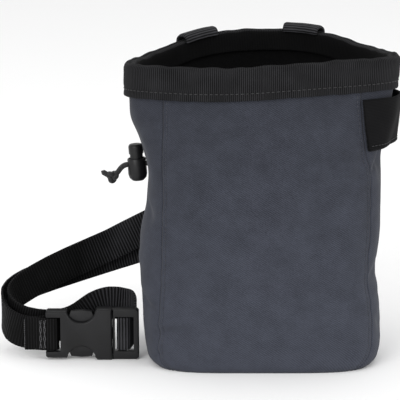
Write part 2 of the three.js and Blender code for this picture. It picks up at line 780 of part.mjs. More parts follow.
{
  const bore = buttonRadius + fit;
  const barrel = turned([
    [0, 0], [0.6 * barrelRadius, 0.5], [0.9 * barrelRadius, 2.2], [barrelRadius, 4.5],
    [barrelRadius, barrelHeight - 0.8], [barrelRadius - 0.4, barrelHeight],
    [bore, barrelHeight], [bore, barrelFloor], [0, barrelFloor],
  ], 16);
  const holeRadius = cordRadius + cordClear;
  const hole = new THREE.CylinderGeometry(holeRadius, holeRadius, 4 * barrelRadius, 10);
  const cordHole = toManifold(hole.rotateZ(Math.PI / 2).translate(0, 0, cordHoleHeight));
  addPiece('cord_lock_barrel', fromManifold(barrel.subtract(cordHole)), blackPlastic, lockGroup);

  const slotLow = cordHoleHeight - cordRadius - cordClear;
  const slotHigh = cordHoleHeight + cordRadius + cordClear + buttonTravel;
  const button = turned([
    [0, slotLow - 1.4], [buttonRadius, slotLow - 1.4], [buttonRadius, buttonTop - 1.6],
    [0.8 * buttonRadius, buttonTop - 0.5], [0, buttonTop],
  ], 14);
  const side = cordRadius + cordClear;
  const slot = block(-2 * barrelRadius, 2 * barrelRadius, -side, side, slotLow, slotHigh);
  addPiece('cord_lock_button', fromManifold(button.subtract(slot)), blackPlastic, lockGroup);
}

// Draw cord: out of the neck, through the lock, and down to its knot. Points chosen by hand, as
// places beside the foot of the lock.
const cordStart = besideLock(cordHoleHeight + 0.5).sub(lockFoot);
const cordPoints = [
  [cordStart.x - 0.56 * cordRadius, -0.28, 11.0], [4.56, -0.08, 10.85], [-0.74, 0.02, 10.5], [-5.44, 0.02, 10.1],
  [-8.04, 0.12, 9.5], [-10.04, 0.22, 8.0], [-11.44, 0.32, 6.2], [-12.14, 0.32, 5.3],
];
const knotMiddle = [-15.34, 0.32, 2.6];
const tailEnd = [-22.04, 0.32, 5.9];

function tube(points, radius, sides, steps) {
  const places = points.map((point) => new THREE.Vector3(...point).add(lockFoot));
  const path = new THREE.CatmullRomCurve3(places);
  const section = new THREE.Shape(Array.from({ length: sides }, (_, i) => {
    const angle = (2 * Math.PI * i) / sides;
    return new THREE.Vector2(radius * Math.cos(angle), radius * Math.sin(angle));
  }));
  return new THREE.ExtrudeGeometry(section, { steps, extrudePath: path });
}

addPiece('draw_cord', tube(cordPoints, cordRadius, 8, 8), blackWebbing);
{
  const ball = new THREE.SphereGeometry(knotRadius, 12, 8).scale(0.92, 1, 1);
  const middle = new THREE.Vector3(...knotMiddle).add(lockFoot);
  const stub = tube([knotMiddle, tailEnd], cordRadius, 8, 1);
  const knot = toManifold(ball.translate(middle.x, middle.y, middle.z)).add(toManifold(stub));
  addPiece('cord_knot', fromManifold(knot), blackWebbing);
}

export default chalkBag;
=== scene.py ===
"""A climbing chalk bag with its waist belt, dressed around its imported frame. Sizes are in millimetres."""

import functools
import math

import bmesh
import bpy
import numpy as np
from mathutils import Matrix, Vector, noise


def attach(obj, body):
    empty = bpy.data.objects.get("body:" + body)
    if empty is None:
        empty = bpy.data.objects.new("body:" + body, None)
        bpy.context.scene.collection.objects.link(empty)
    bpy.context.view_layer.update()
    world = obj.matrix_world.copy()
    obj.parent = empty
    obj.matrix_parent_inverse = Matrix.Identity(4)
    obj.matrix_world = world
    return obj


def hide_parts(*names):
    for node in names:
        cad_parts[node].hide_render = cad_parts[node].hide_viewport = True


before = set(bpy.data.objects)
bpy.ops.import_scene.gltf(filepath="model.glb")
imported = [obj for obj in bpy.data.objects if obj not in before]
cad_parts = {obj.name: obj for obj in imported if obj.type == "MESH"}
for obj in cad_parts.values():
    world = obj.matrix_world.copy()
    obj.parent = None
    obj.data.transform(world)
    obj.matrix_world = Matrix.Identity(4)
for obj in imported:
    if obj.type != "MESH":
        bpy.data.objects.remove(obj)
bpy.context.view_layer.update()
MM = 0.001

# Camera: the bag is seen from straight in front and a little above
CAMERA_AIM = (-35.4, -57, 103.8)
CAMERA_DISTANCE = 1150
CAMERA_ELEVATION = math.radians(12.5)
CAMERA_LENS = 181.5
CAMERA_SENSOR = 36


def placed(name, data):
    """A new object in the scene that holds a mesh, curve, lamp or camera."""
    made = bpy.data.objects.new(name, data)
    bpy.context.scene.collection.objects.link(made)
    return made


def add_camera():
    camera = placed("camera", bpy.data.cameras.new("camera"))
    camera.data.lens = CAMERA_LENS
    camera.data.sensor_width = CAMERA_SENSOR
    back = CAMERA_DISTANCE * math.cos(CAMERA_ELEVATION)
    up = CAMERA_DISTANCE * math.sin(CAMERA_ELEVATION)
    camera.location = (Vector(CAMERA_AIM) + Vector((0, -back, up))) * MM
    camera.rotation_euler = (math.pi / 2 - CAMERA_ELEVATION, 0, 0)
    bpy.context.scene.camera = camera


add_camera()

# Bag
BAG_HEIGHT = 180
HALF_WIDTH = 70.5
HALF_DEPTH = 57
CANVAS_THICK = 1.5
LINING_THICK = 1.2
LINING_GAP = 0.7
LINING_LOOSE = 1.0
LINING_FOLDS = 2.2
BASE_THICK = 2
FIT = 0.3

# Rim band
BAND_THICK = 1.6
BAND_GAP = 0.6
BAND_HEIGHT = 19
BACK_RISE = 7.2
FRONT_RISE = 2.6
FRONT_DIP = 2.2
SIDE_TILT = 2.2

# Neck with its gathers, which fade out between two shares of the way round from the back
NECK_HEIGHT = 127
NECK_SPREAD = 15
GATHER_COUNT = 12
GATHER_DEPTH = 1.3
GATHER_END = 0.36
GATHER_FADE = 0.06

# Brush loop
BRUSH_LOOP_HEIGHT = 27.4
BRUSH_LOOP_DROP = 4.6
BRUSH_LOOP_THICK = 1.8
BRUSH_LOOP_STAND = 5.6
BRUSH_LOOP_END = 0.33

# Belt loops
BELT_LOOP_WIDTH = 24
BELT_LOOP_THICK = 1.6
BELT_LOOP_ARCH = 2.1
BELT_LOOP_INSIDE = 1.4
ARCH_FOOT = 0.6
BELT_LOOP_FOOT = 48
BELT_LOOP_PLACES = {"belt_loop_left": -38, "belt_loop_right": 27.5}

# Webbing
WEB_WIDTH = 20
WEB_THICK = 1.6
WEB_GAP = 0.4
BELT_SLACK = 0.8

# Wall sections from the floor up. 'at' is a share of BAG_HEIGHT; left, right and the two seams are
# shares of HALF_WIDTH; front, back and widest are shares of HALF_DEPTH; corner is the power of the
# front's curve, higher for a squarer corner.
SECTION_COLUMNS = (
    "at", "left", "right", "front", "back", "widest", "seam_left", "seam_right", "corner",
)
SECTIONS = np.array([
    (0.000, 0.885, 0.935, 0.965, 0.877, 0.10, 0.740, 0.766, 4.6),
    (0.014, 0.925, 0.978, 0.988, 0.912, 0.12, 0.790, 0.823, 4.5),
    (0.044, 0.955, 1.012, 1.000, 0.935, 0.14, 0.837, 0.887, 4.3),
    (0.111, 0.977, 1.016, 1.009, 0.947, 0.17, 0.844, 0.922, 4.0),
    (0.189, 0.989, 1.008, 1.017, 0.953, 0.19, 0.837, 0.915, 3.7),
    (0.278, 0.999, 0.978, 1.021, 0.953, 0.21, 0.823, 0.894, 3.4),
    (0.344, 1.001, 0.990, 1.021, 0.951, 0.21, 0.816, 0.887, 3.2),
    (0.444, 0.990, 1.006, 1.017, 0.944, 0.23, 0.813, 0.894, 3.0),
    (0.511, 0.959, 1.008, 1.014, 0.930, 0.23, 0.809, 0.894, 2.9),
    (0.578, 0.948, 1.013, 1.009, 0.918, 0.25, 0.806, 0.894, 2.8),
    (0.644, 0.950, 1.006, 1.000, 0.900, 0.26, 0.806, 0.887, 2.8),
    (0.694, 0.969, 1.005, 0.993, 0.888, 0.28, 0.806, 0.858, 2.8),
    (0.744, 1.007, 1.021, 0.993, 0.895, 0.32, 0.806, 0.838, 2.8),
    (0.811, 1.071, 1.057, 0.996, 0.939, 0.37, 0.801, 0.808, 2.8),
    (0.889, 1.092, 1.085, 1.000, 0.982, 0.42, 0.799, 0.788, 2.8),
    (0.986, 1.096, 1.106, 1.000, 1.000, 0.44, 0.799, 0.788, 2.8),
])

# Dents in the canvas: place round the bag, height, depth, and the spans round and up, all as shares
DENTS = (
    (0.205, 0.675, 0.050, 0.030, 0.035),
    (0.180, 0.300, 0.026, 0.030, 0.050),
    (0.195, 0.150, 0.018, 0.024, 0.060),
    (0.872, 0.110, 0.020, 0.035, 0.022),
    (0.815, 0.170, 0.024, 0.022, 0.060),
    (0.805, 0.505, 0.030, 0.030, 0.032),
    (0.735, 0.620, 0.035, 0.035, 0.060),
)

# Stand-off of the belt loops from the canvas, from their foot (0) to the band (1)
LOOP_STAND_AT = (0.00, 0.05, 0.13, 0.46, 0.66, 0.84, 1.00)
LOOP_STAND = (0.00, 0.00, 1.20, 1.30, 1.80, 1.35, 0.55)

# Creases and soft ridges that the cloth shows: face, place across and height where it starts, place
# across and height where it ends, width, and depth, which is negative for a valley. Across is x on
# the front and back, and y on the sides.
CREASES = (
    ("front", -60, 22, -42, 26, 2.8, -1.9),
    ("front", -60, 28, -46, 33, 3.2, 0.9),
    ("front", -61, 8, -54, 14, 2.4, -1.3),
    ("front", 56, 116, 60, 134, 2.6, -1.3),
    ("front", 40, 148, 60, 139, 4.5, -1.2),
    ("front", -57, 150, -48, 138, 4.0, -0.6),
    ("front", -50, 118, -38, 100, 6.0, 0.5),
    ("front", 30, 30, 58, 20, 5.0, 0.6),
    ("front", 20, 12, 50, 9, 4.0, -0.5),
    ("front", -20, 10, 14, 13, 5.0, -0.4),
    ("right", -40, 117, -22, 128, 2.4, -1.9),
    ("right", -22, 128, -8, 136, 2.8, -1.2),
    ("right", -40, 54, -20, 60, 3.0, -1.0),
    ("right", -38, 44, -15, 46, 3.5, 0.8),
    ("right", -42, 30, -24, 20, 3.0, -0.9),
    ("right", 5, 60, 22, 75, 4.0, -0.9),
    ("left", -44, 36, -22, 40, 3.0, -2.0),
    ("left", -36, 88, -18, 96, 3.0, -1.2),
    ("left", -44, 20, -30, 12, 3.0, -0.8),
    ("left", -30, 66, -12, 58, 4.0, 0.8),
    ("left", 0, 30, 22, 44, 4.0, -0.9),
    ("back", -50, 30, -28, 22, 4.0, -0.9),
    ("back", 18, 26, 46, 36, 4.0, -0.9),
    ("back", -10, 96, 8, 110, 4.0, -0.8),
    ("back", -8, 40, 6, 30, 4.0, -0.7),
)

TOP_EDGE = SECTIONS[-1, 0] * BAG_HEIGHT
BAND_FOOT = BAG_HEIGHT - BAND_HEIGHT
BAND_TOP = BAG_HEIGHT - TOP_EDGE
BAND_INNER = CANVAS_THICK + LINING_GAP + LINING_THICK + BAND_GAP
BACK_POWER = 2 / 1.9
RING_POINTS = 721
NORMAL_REACH = 0.006
LEVEL = np.array([1, 1, 0.0])


def bell(distance):
    return np.exp(-np.square(distance))


def smooth(share):
    share = np.clip(share, 0, 1)
    return share ** 2 * (3 - 2 * share)


def lerp(start, end, share):
    return start + (end - start) * share


def unit(vectors):
    return vectors / np.linalg.norm(vectors, axis=-1, keepdims=True)


def way_along(points):
    """Distance from the first point to each one, along their line."""
    return np.concatenate([[0], np.cumsum(np.linalg.norm(np.diff(points, axis=0), axis=1))])


def rounded_table(at, places, values):
    """A table's value at one place, on a smooth curve through its rows."""
    slopes = np.gradient(values, places)
    i = int(np.clip(np.searchsorted(places, at) - 1, 0, len(places) - 2))
    span = places[i + 1] - places[i]
    t = np.clip((at - places[i]) / span, 0, 1)
    rise = smooth(t)
    bend = span * (t * (1 - t) ** 2 * slopes[i] - t ** 2 * (1 - t) * slopes[i + 1])
    return values[i] + (values[i + 1] - values[i]) * rise + bend


def section(z, column):
    return rounded_table(z / BAG_HEIGHT, SECTIONS[:, 0], SECTIONS[:, SECTION_COLUMNS.index(column)])


@functools.lru_cache(maxsize=None)
def ring(z):
    """Outline of the canvas at one height, from the front centre towards +X, and the way to each point."""
    angle = np.linspace(-math.pi / 2, 1.5 * math.pi, RING_POINTS)
    c, s = np.cos(angle), np.sin(angle)
    power = np.where(s < 0, 2 / section(z, "corner"), BACK_POWER)
    side = np.where(c > 0, section(z, "right"), section(z, "left")) * HALF_WIDTH
    widest = -section(z, "widest") * HALF_DEPTH
    front = -section(z, "front") * HALF_DEPTH - widest
    back = section(z, "back") * HALF_DEPTH - widest
    x = np.sign(c) * side * np.abs(c) ** power
    y = widest + np.where(s < 0, front, back) * np.abs(s) ** power
    points = np.stack([x, y], 1)
    return points, way_along(points)


def ring_length(z):
    return ring(z)[1][-1]


def plan(around, z):
    """Places on the outline at shares of the way round, and the directions straight out from them."""
    points, lengths = ring(z)

    def find(share):
        want = (share - np.floor(share)) * lengths[-1]
        return np.stack([np.interp(want, lengths, points[:, k]) for k in (0, 1)], -1)

    tangent = unit(find(around + NORMAL_REACH) - find(around - NORMAL_REACH))
    return find(around), np.stack([tangent[..., 1], -tangent[..., 0]], -1)


def gather(around, z):
    behind = smooth((np.abs(around - np.floor(around) - 0.5) - GATHER_END) / -GATHER_FADE)
    wave = np.cos(2 * math.pi * GATHER_COUNT * around)
    return GATHER_DEPTH * behind * wave * bell((z - NECK_HEIGHT) / NECK_SPREAD)


def dent(around, z):
    turn = around - np.floor(around)
    total = np.zeros_like(turn)
    for place, height, depth, span_around, span_up in DENTS:
        upward = bell((z / BAG_HEIGHT - height) / span_up)
        total -= depth * HALF_DEPTH * bell((turn - place) / span_around) * upward
    return total


def rise(x, y, z):
    """Lift of the mouth's edge, which starts at the neck and is highest at the back."""
    share = smooth((z / BAG_HEIGHT - 0.66) / 0.22)
    back = BACK_RISE * smooth(y / HALF_DEPTH) ** 2
    dip = FRONT_DIP * bell((x + 0.25 * HALF_WIDTH) / (0.6 * HALF_WIDTH))
    front = (FRONT_RISE - dip) * smooth(-y / HALF_DEPTH)
    return share * (back + front + SIDE_TILT * x / HALF_WIDTH)


def wall(around, z, out=0.0, gathers=1):
    """Points of the bag at one height, at a distance outside the canvas."""
    around = np.asarray(around, float)
    place, normal = plan(around, z)
    push = out + gathers * gather(around, z) + dent(around, z)
    x = place[..., 0] + normal[..., 0] * push
    y = place[..., 1] + normal[..., 1] * push
    return np.stack([x, y, z + rise(place[..., 0], place[..., 1], z)], -1)


def seam_around(z, side):
    """Share of the way round at which the outline reaches a front seam."""
    reach = section(z, "seam_left" if side < 0 else "seam_right") * HALF_WIDTH
    points, lengths = ring(z)
    half = points[:, 1] <= -section(z, "widest") * HALF_DEPTH
    on_side = half & (points[:, 0] * side > 0) & (np.abs(points[:, 0]) >= reach)
    found = np.nonzero(on_side)[0]
    if side > 0:
        return lengths[found[0]] / lengths[-1]
    return lengths[found[-1]] / lengths[-1] - 1


def crease_relief(points):
    """Depth of the drawn creases at points of the wall."""
    x, y, z = points[..., 0], points[..., 1], points[..., 2]
    side_share = smooth((np.abs(x) - 0.72 * HALF_WIDTH) / (0.2 * HALF_WIDTH))
    shares = {
        "front": (x, smooth((-y - 18) / 16)),
        "back": (x, smooth((y - 4) / 14)),
        "right": (y, side_share * (x > 0)),
        "left": (y, side_share * (x < 0)),
    }
    total = np.zeros_like(x)
    for face, a0, z0, a1, z1, width, depth in CREASES:
        across, share = shares[face]
        run = (a1 - a0) ** 2 + (z1 - z0) ** 2
        t = np.clip(((across - a0) * (a1 - a0) + (z - z0) * (z1 - z0)) / run, 0, 1)
        distance = np.hypot(across - lerp(a0, a1, t), z - lerp(z0, z1, t))
        fading = 0.35 + 0.65 * np.sin(math.pi * lerp(0.1, 0.9, t))
        total += depth * share * bell(distance / width) * fading
    return total


def noise_relief(points, size, seed):
    """Smooth random relief between -1 and 1 with features of about the given size."""
    flat = points.reshape(-1, 3) / size + np.array([seed * 7.31, seed * 3.77, seed * 1.93])
    values = [noise.noise(Vector(p)) for p in flat.tolist()]
    return np.array(values).reshape(points.shape[:-1])


def new_object(name, points, faces, uv, material):
    """A mesh object from points in millimetres, faces, and one UV pair for each face corner."""
    mesh = bpy.data.meshes.new(name)
    mesh.from_pydata((np.asarray(points) * MM).tolist(), [], [list(map(int, f)) for f in faces])
    layer = mesh.uv_layers.new(name="cloth_mm")
    layer.data.foreach_set("uv", np.asarray(uv, np.float32).ravel())
    mesh.shade_smooth()
    mesh.materials.append(material)
    return placed(name, mesh)


def faced_outwards(piece):
    """The piece with its open edges closed and its faces turned outwards."""
    mesh = bmesh.new()
    mesh.from_mesh(piece.data)
    bmesh.ops.holes_fill(mesh, edges=[e for e in mesh.edges if e.is_boundary], sides=0)
    bmesh.ops.recalc_face_normals(mesh, faces=mesh.faces)
    mesh.to_mesh(piece.data)
    mesh.free()
    return piece


def quad_corners(rows, columns):
    """Row and column of the four corners of each quad between grid lines."""
    i, j = np.meshgrid(np.arange(rows), np.arange(columns), indexing="ij")
    return [(i, j), (i, j + 1), (i + 1, j + 1), (i + 1, j)]


def quad_faces(corners, rows, columns):
    return np.stack([(a % rows) * columns + b % columns for a, b in corners], -1).reshape(-1, 4)


def quad_uv(corners, u, v):
    return np.stack([np.stack([u[b], v[a]], -1) for a, b in corners], 2).reshape(-1, 2)


def grid_normals(grid, closed=False):
    if closed:
        across = np.roll(grid, -1, 1) - np.roll(grid, 1, 1)
    else:
        across = np.gradient(grid, axis=1)
    normals = np.cross(across, np.gradient(grid, axis=0))
    return normals / np.maximum(np.linalg.norm(normals, axis=-1, keepdims=True), 1e-9)


def two_sided(name, outer, inner, uv, material, closed=False):
    """A closed piece of cloth between two grids of points. uv holds one pair for each grid point, and
    one more column where the grid closes on itself."""
    rows, cols = outer.shape[:2]
    spans = cols if closed else cols - 1
    corners = quad_corners(rows - 1, spans)
    index = quad_faces(corners, rows, cols)
    pairs = np.stack([uv[a, b] for a, b in corners], 2).reshape(-1, 4, 2)
    count = rows * cols
    faces = [index, index[:, ::-1] + count]
    coords = [pairs, pairs[:, ::-1]]

    def border(first, second, first_uv, second_uv):
        faces.append(np.stack([first, second, second + count, first + count], -1))
        coords.append(np.stack([first_uv, second_uv, second_uv, first_uv], 1))

    k = np.arange(spans)
    top = (rows - 1) * cols
    border((k + 1) % cols, k, uv[0, k + 1], uv[0, k])
    border(top + k, top + (k + 1) % cols, uv[-1, k], uv[-1, k + 1])
    if not closed:
        m = np.arange(rows - 1)
        border(m * cols, (m + 1) * cols, uv[m, 0], uv[m + 1, 0])
        border((m + 1) * cols + cols - 1, m * cols + cols - 1, uv[m + 1, -1], uv[m, -1])
    points = np.concatenate([outer.reshape(-1, 3), inner.reshape(-1, 3)])
    return new_object(name, points, np.concatenate(faces), np.concatenate(coords), material)


def grid_uv(grid, closed=False):
    """UV pairs in millimetres: the way across along the middle row, and the way up along each column."""
    full = np.concatenate([grid, grid[:, :1]], 1) if closed else grid
    u = np.broadcast_to(way_along(full[len(full) // 2]), full.shape[:2])
    up = np.linalg.norm(np.diff(full, axis=0), axis=2).mean(1)
    v = np.broadcast_to(np.concatenate([[0], np.cumsum(up)])[:, None], full.shape[:2])
    return np.stack([u, v], -1)


def linear(hex_colour):
    """An sRGB hex colour as linear RGBA."""
    values = [int(hex_colour[k:k + 2], 16) / 255 for k in (1, 3, 5)]
    return [v / 12.92 if v <= 0.04045 else ((v + 0.055) / 1.055) ** 2.4 for v in values] + [1]


def feed(node, inputs):
    """Set a node's inputs to values, or link them to sockets."""
    for socket, value in inputs.items():
        if isinstance(value, bpy.types.NodeSocket):
            node.id_data.links.new(value, node.inputs[socket])
        else:
            node.inputs[socket].default_value = value


def add(tree, kind, inputs=None, **settings):
    """A node with its settings, and its inputs set to values or linked to sockets."""
    node = tree.nodes.new(kind)
    for key, value in settings.items():
        setattr(node, key, value)
    feed(node, inputs or {})
    return node


def dye(ramp, *stops):
    """Give the two stops of a colour ramp their places and hex colours."""
    for element, (position, hex_colour) in zip(ramp.color_ramp.elements, stops):
        element.position = position
        element.color = linear(hex_colour)


def new_material(name):
    material = bpy.data.materials.new(name)
    material.use_nodes = True
    return material, material.node_tree, material.node_tree.nodes["Principled BSDF"]


def wave_scale(period):
    """Scale of a Wave Texture whose bands are one period apart."""
    return 2 * math.pi / (20 * period)


def cloth_uv(tree):
    return add(tree, "ShaderNodeUVMap", uv_map="cloth_mm").outputs["UV"]


def twill_canvas():
    """Cotton twill canvas, piece-dyed slate: fine diagonal wale, slubby yarn, soft matt surface. Its
    tone is graded a little lighter towards the floor, to match the light on the real bag."""
    wale = 1.05   # the real wale is about 0.7 mm, drawn wider so that it shows
    yarn = 0.55
    patch = 15
    material, tree, shader = new_material("cotton_twill_canvas")
    uv = cloth_uv(tree)
    turned = add(tree, "ShaderNodeMapping", {"Vector": uv, "Rotation": (0, 0, math.radians(-58))})
    diagonal = add(tree, "ShaderNodeTexWave", {
        "Vector": turned.outputs["Vector"], "Scale": wave_scale(wale), "Distortion": 2.6,
        "Detail": 2.0, "Detail Scale": 2.2,
    }, bands_direction="X")
    squeeze = add(tree, "ShaderNodeMapping", {"Vector": uv, "Scale": (1 / (2.2 * yarn), 1 / yarn, 1)})
    slub = add(tree, "ShaderNodeTexNoise", {
        "Vector": squeeze.outputs["Vector"], "Scale": 1.0, "Detail": 3.0, "Roughness": 0.65,
    })
    cloud = add(tree, "ShaderNodeTexNoise", {
        "Vector": uv, "Scale": 1 / patch, "Detail": 4.0, "Roughness": 0.7,
    })
    weave = add(tree, "ShaderNodeMix", {
        "Factor": 0.36, "A": slub.outputs["Fac"], "B": diagonal.outputs["Fac"],
    }, data_type="FLOAT")
    tone = add(tree, "ShaderNodeMath", {
        0: weave.outputs["Result"], 1: 0.72, 2: 0.14,
    }, operation="MULTIPLY_ADD")
    mottled = add(tree, "ShaderNodeMix", {
        "Factor": 0.33, "A": tone.outputs["Value"], "B": cloud.outputs["Fac"],
    }, data_type="FLOAT")
    place = add(tree, "ShaderNodeTexCoord").outputs["Object"]
    apart = add(tree, "ShaderNodeSeparateXYZ", {"Vector": place})
    grading = add(tree, "ShaderNodeMapRange", {
        "Value": apart.outputs["Z"], "From Min": 0.0, "From Max": 165 * MM, "To Min": 0.08, "To Max": -0.1,
    })
    graded = add(tree, "ShaderNodeMath", {
        0: mottled.outputs["Result"], 1: grading.outputs["Result"],
    }, operation="ADD")
    ramp = add(tree, "ShaderNodeValToRGB", {"Fac": graded.outputs["Value"]})
    dye(ramp, (0.33, "#22242b"), (0.67, "#3d404a"))
    bump = add(tree, "ShaderNodeBump", {
        "Height": weave.outputs["Result"], "Strength": 0.45, "Distance": 0.35 * MM,
    })
    feed(shader, {
        "Base Color": ramp.outputs["Color"], "Normal": bump.outputs["Normal"], "Roughness": 0.92,
        "Specular IOR Level": 0.25, "Sheen Weight": 0.05, "Sheen Roughness": 0.45,
    })
    return material


def ribbed_cloth(name, dark, light, rib, direction, roughness, sheen, depth, lit_from=None):
    """Woven polyester with ribs one after another along the UV's first (X) or second (Y) way. The ribs'
    tone is graded darker left of lit_from, a place on X, to match the light on the real belt."""
    fade = 15
    patch = 14
    filament = 0.6
    material, tree, shader = new_material(name)
    uv = cloth_uv(tree)
    ribs = add(tree, "ShaderNodeTexWave", {
        "Vector": uv, "Scale": wave_scale(rib), "Distortion": 0.5, "Detail": 1.0, "Detail Scale": 1.5,
    }, bands_direction=direction)
    fibre = add(tree, "ShaderNodeTexNoise", {"Vector": uv, "Scale": 1 / filament, "Detail": 2.0})
    cloud = add(tree, "ShaderNodeTexNoise", {"Vector": uv, "Scale": 1 / patch, "Detail": 2.0})
    height = add(tree, "ShaderNodeMix", {
        "Factor": 0.25, "A": ribs.outputs["Fac"], "B": fibre.outputs["Fac"],
    }, data_type="FLOAT")
    tone = add(tree, "ShaderNodeMix", {
        "Factor": 0.35, "A": height.outputs["Result"], "B": cloud.outputs["Fac"],
    }, data_type="FLOAT")
    tint = tone.outputs["Result"]
    if lit_from is not None:
        place = add(tree, "ShaderNodeTexCoord").outputs["Object"]
        apart = add(tree, "ShaderNodeSeparateXYZ", {"Vector": place})
        grading = add(tree, "ShaderNodeMapRange", {
            "Value": apart.outputs["X"], "From Min": (lit_from - fade) * MM,
            "From Max": (lit_from + fade) * MM, "To Min": 0.45, "To Max": 1.0,
        })
        graded = add(tree, "ShaderNodeMath", {0: tint, 1: grading.outputs["Result"]}, operation="MULTIPLY")
        tint = graded.outputs["Value"]
    ramp = add(tree, "ShaderNodeValToRGB", {"Fac": tint})
    dye(ramp, (0.25, dark), (0.8, light))
    bump = add(tree, "ShaderNodeBump", {
        "Height": height.outputs["Result"], "Strength": 0.6, "Distance": depth * MM,
    })
    feed(shader, {
        "Base Color": ramp.outputs["Color"], "Normal": bump.outputs["Normal"], "Roughness": roughness,
        "Specular IOR Level": 0.1, "Sheen Weight": sheen, "Sheen Roughness": 0.35,
    })
    return material


def fleece_pile():
    """Brushed polyester fleece: a deep matt black nap with soft clumps that catch a little light."""
    material, tree, shader = new_material("brushed_fleece")
    place = add(tree, "ShaderNodeTexCoord").outputs["Object"]
    clumps = add(tree, "ShaderNodeTexNoise", {
        "Vector": place, "Scale": 1 / (3 * MM), "Detail": 4.0, "Roughness": 0.7,
    })
    nap = add(tree, "ShaderNodeTexNoise", {"Vector": place, "Scale": 1 / (0.8 * MM), "Detail": 2.0})
    height = add(tree, "ShaderNodeMix", {
        "Factor": 0.5, "A": clumps.outputs["Fac"], "B": nap.outputs["Fac"],
    }, data_type="FLOAT")
    ramp = add(tree, "ShaderNodeValToRGB", {"Fac": height.outputs["Result"]})
    dye(ramp, (0.3, "#010101"), (0.75, "#070708"))
    bump = add(tree, "ShaderNodeBump", {
        "Height": height.outputs["Result"], "Strength": 0.8, "Distance": 0.8 * MM,
    })
    feed(shader, {
        "Base Color": ramp.outputs["Color"], "Normal": bump.outputs["Normal"], "Roughness": 1.0,
        "Specular IOR Level": 0.1, "Sheen Weight": 0.04,
    })
    return material


def moulded_acetal():
    """Injection-moulded black acetal: satin skin with a fine spark-eroded grain and slight flow marks."""
    material, tree, shader = new_material("moulded_acetal")
    place = add(tree, "ShaderNodeTexCoord").outputs["Object"]
    grain = add(tree, "ShaderNodeTexNoise", {"Vector": place, "Scale": 1 / (0.5 * MM), "Detail": 2.0})
    flow = add(tree, "ShaderNodeTexNoise", {"Vector": place, "Scale": 1 / (12 * MM), "Detail": 2.0})
    ramp = add(tree, "ShaderNodeValToRGB", {"Fac": flow.outputs["Fac"]})
    dye(ramp, (0.3, "#0b0b0c"), (0.75, "#131315"))
    shine = add(tree, "ShaderNodeMapRange", {"Value": grain.outputs["Fac"], "To Min": 0.34, "To Max": 0.46})
    bump = add(tree, "ShaderNodeBump", {
        "Height": grain.outputs["Fac"], "Strength": 0.15, "Distance": 0.1 * MM,
    })
    feed(shader, {
        "Base Color": ramp.outputs["Color"], "Normal": bump.outputs["Normal"],
        "Roughness": shine.outputs["Result"], "IOR": 1.48, "Specular IOR Level": 0.32,
    })
    return material


def braided_sheath():
    """Braided polyester cord sheath: crossing helical strands one after another."""
    strand = 1.2
    material, tree, shader = new_material("braided_cord_sheath")
    uv = cloth_uv(tree)
    heights = []
    for turn in (48, -48):
        turned = add(tree, "ShaderNodeMapping", {"Vector": uv, "Rotation": (0, 0, math.radians(turn))})
        heights.append(add(tree, "ShaderNodeTexWave", {
            "Vector": turned.outputs["Vector"], "Scale": wave_scale(strand), "Distortion": 0.3,
        }, bands_direction="X").outputs["Fac"])
    height = add(tree, "ShaderNodeMath", {0: heights[0], 1: heights[1]}, operation="MULTIPLY")
    ramp = add(tree, "ShaderNodeValToRGB", {"Fac": height.outputs["Value"]})
    dye(ramp, (0.0, "#040405"), (0.7, "#1d1d1f"))
    bump = add(tree, "ShaderNodeBump", {
        "Height": height.outputs["Value"], "Strength": 0.8, "Distance": 0.4 * MM,
    })
    feed(shader, {
        "Base Color": ramp.outputs["Color"], "Normal": bump.outputs["Normal"], "Roughness": 0.7,
        "Sheen Weight": 0.15,
    })
    return material


def sewing_thread(name, dark, light):
    """Bonded polyester thread: twisted plies with a slight gloss."""
    material, tree, shader = new_material(name)
    place = add(tree, "ShaderNodeTexCoord").outputs["Object"]
    ply = add(tree, "ShaderNodeTexNoise", {"Vector": place, "Scale": 1 / (1.5 * MM), "Detail": 1.0})
    ramp = add(tree, "ShaderNodeValToRGB", {"Fac": ply.outputs["Fac"]})
    dye(ramp, (0.3, dark), (0.7, light))
    feed(shader, {"Base Color": ramp.outputs["Color"], "Roughness": 0.5})
    return material


CANVAS = twill_canvas()
BAND = ribbed_cloth("grosgrain_band", "#010101", "#2a2a2c", 1.15, "X", 0.85, 0.01, 0.5)
# A darker copy of the band's cloth for its faces inside the mouth: painted shade, where the inside of the
# band lies in shadow
BAND_PAINTED_SHADE = ribbed_cloth("grosgrain_band_painted_shade", "#020202", "#0b0b0c", 1.15, "X", 0.9, 0.01, 0.3)
LOOP_BAND = ribbed_cloth("plain_loop_band", "#060607", "#131314", 0.9, "X", 0.9, 0.01, 0.2)
WEBBING = ribbed_cloth("polyester_webbing", "#020202", "#3c3c3f", 1.7, "Y", 0.7, 0.01, 0.8, -95)
FLEECE = fleece_pile()
PLASTIC = moulded_acetal()
SHEATH = braided_sheath()
BLACK_THREAD = sewing_thread("black_thread", "#111112", "#232325")
GREY_THREAD = sewing_thread("grey_thread", "#2c2c2e", "#4b4b4d")
SLATE_THREAD = sewing_thread("slate_thread", "#1c1e25", "#2e313a")


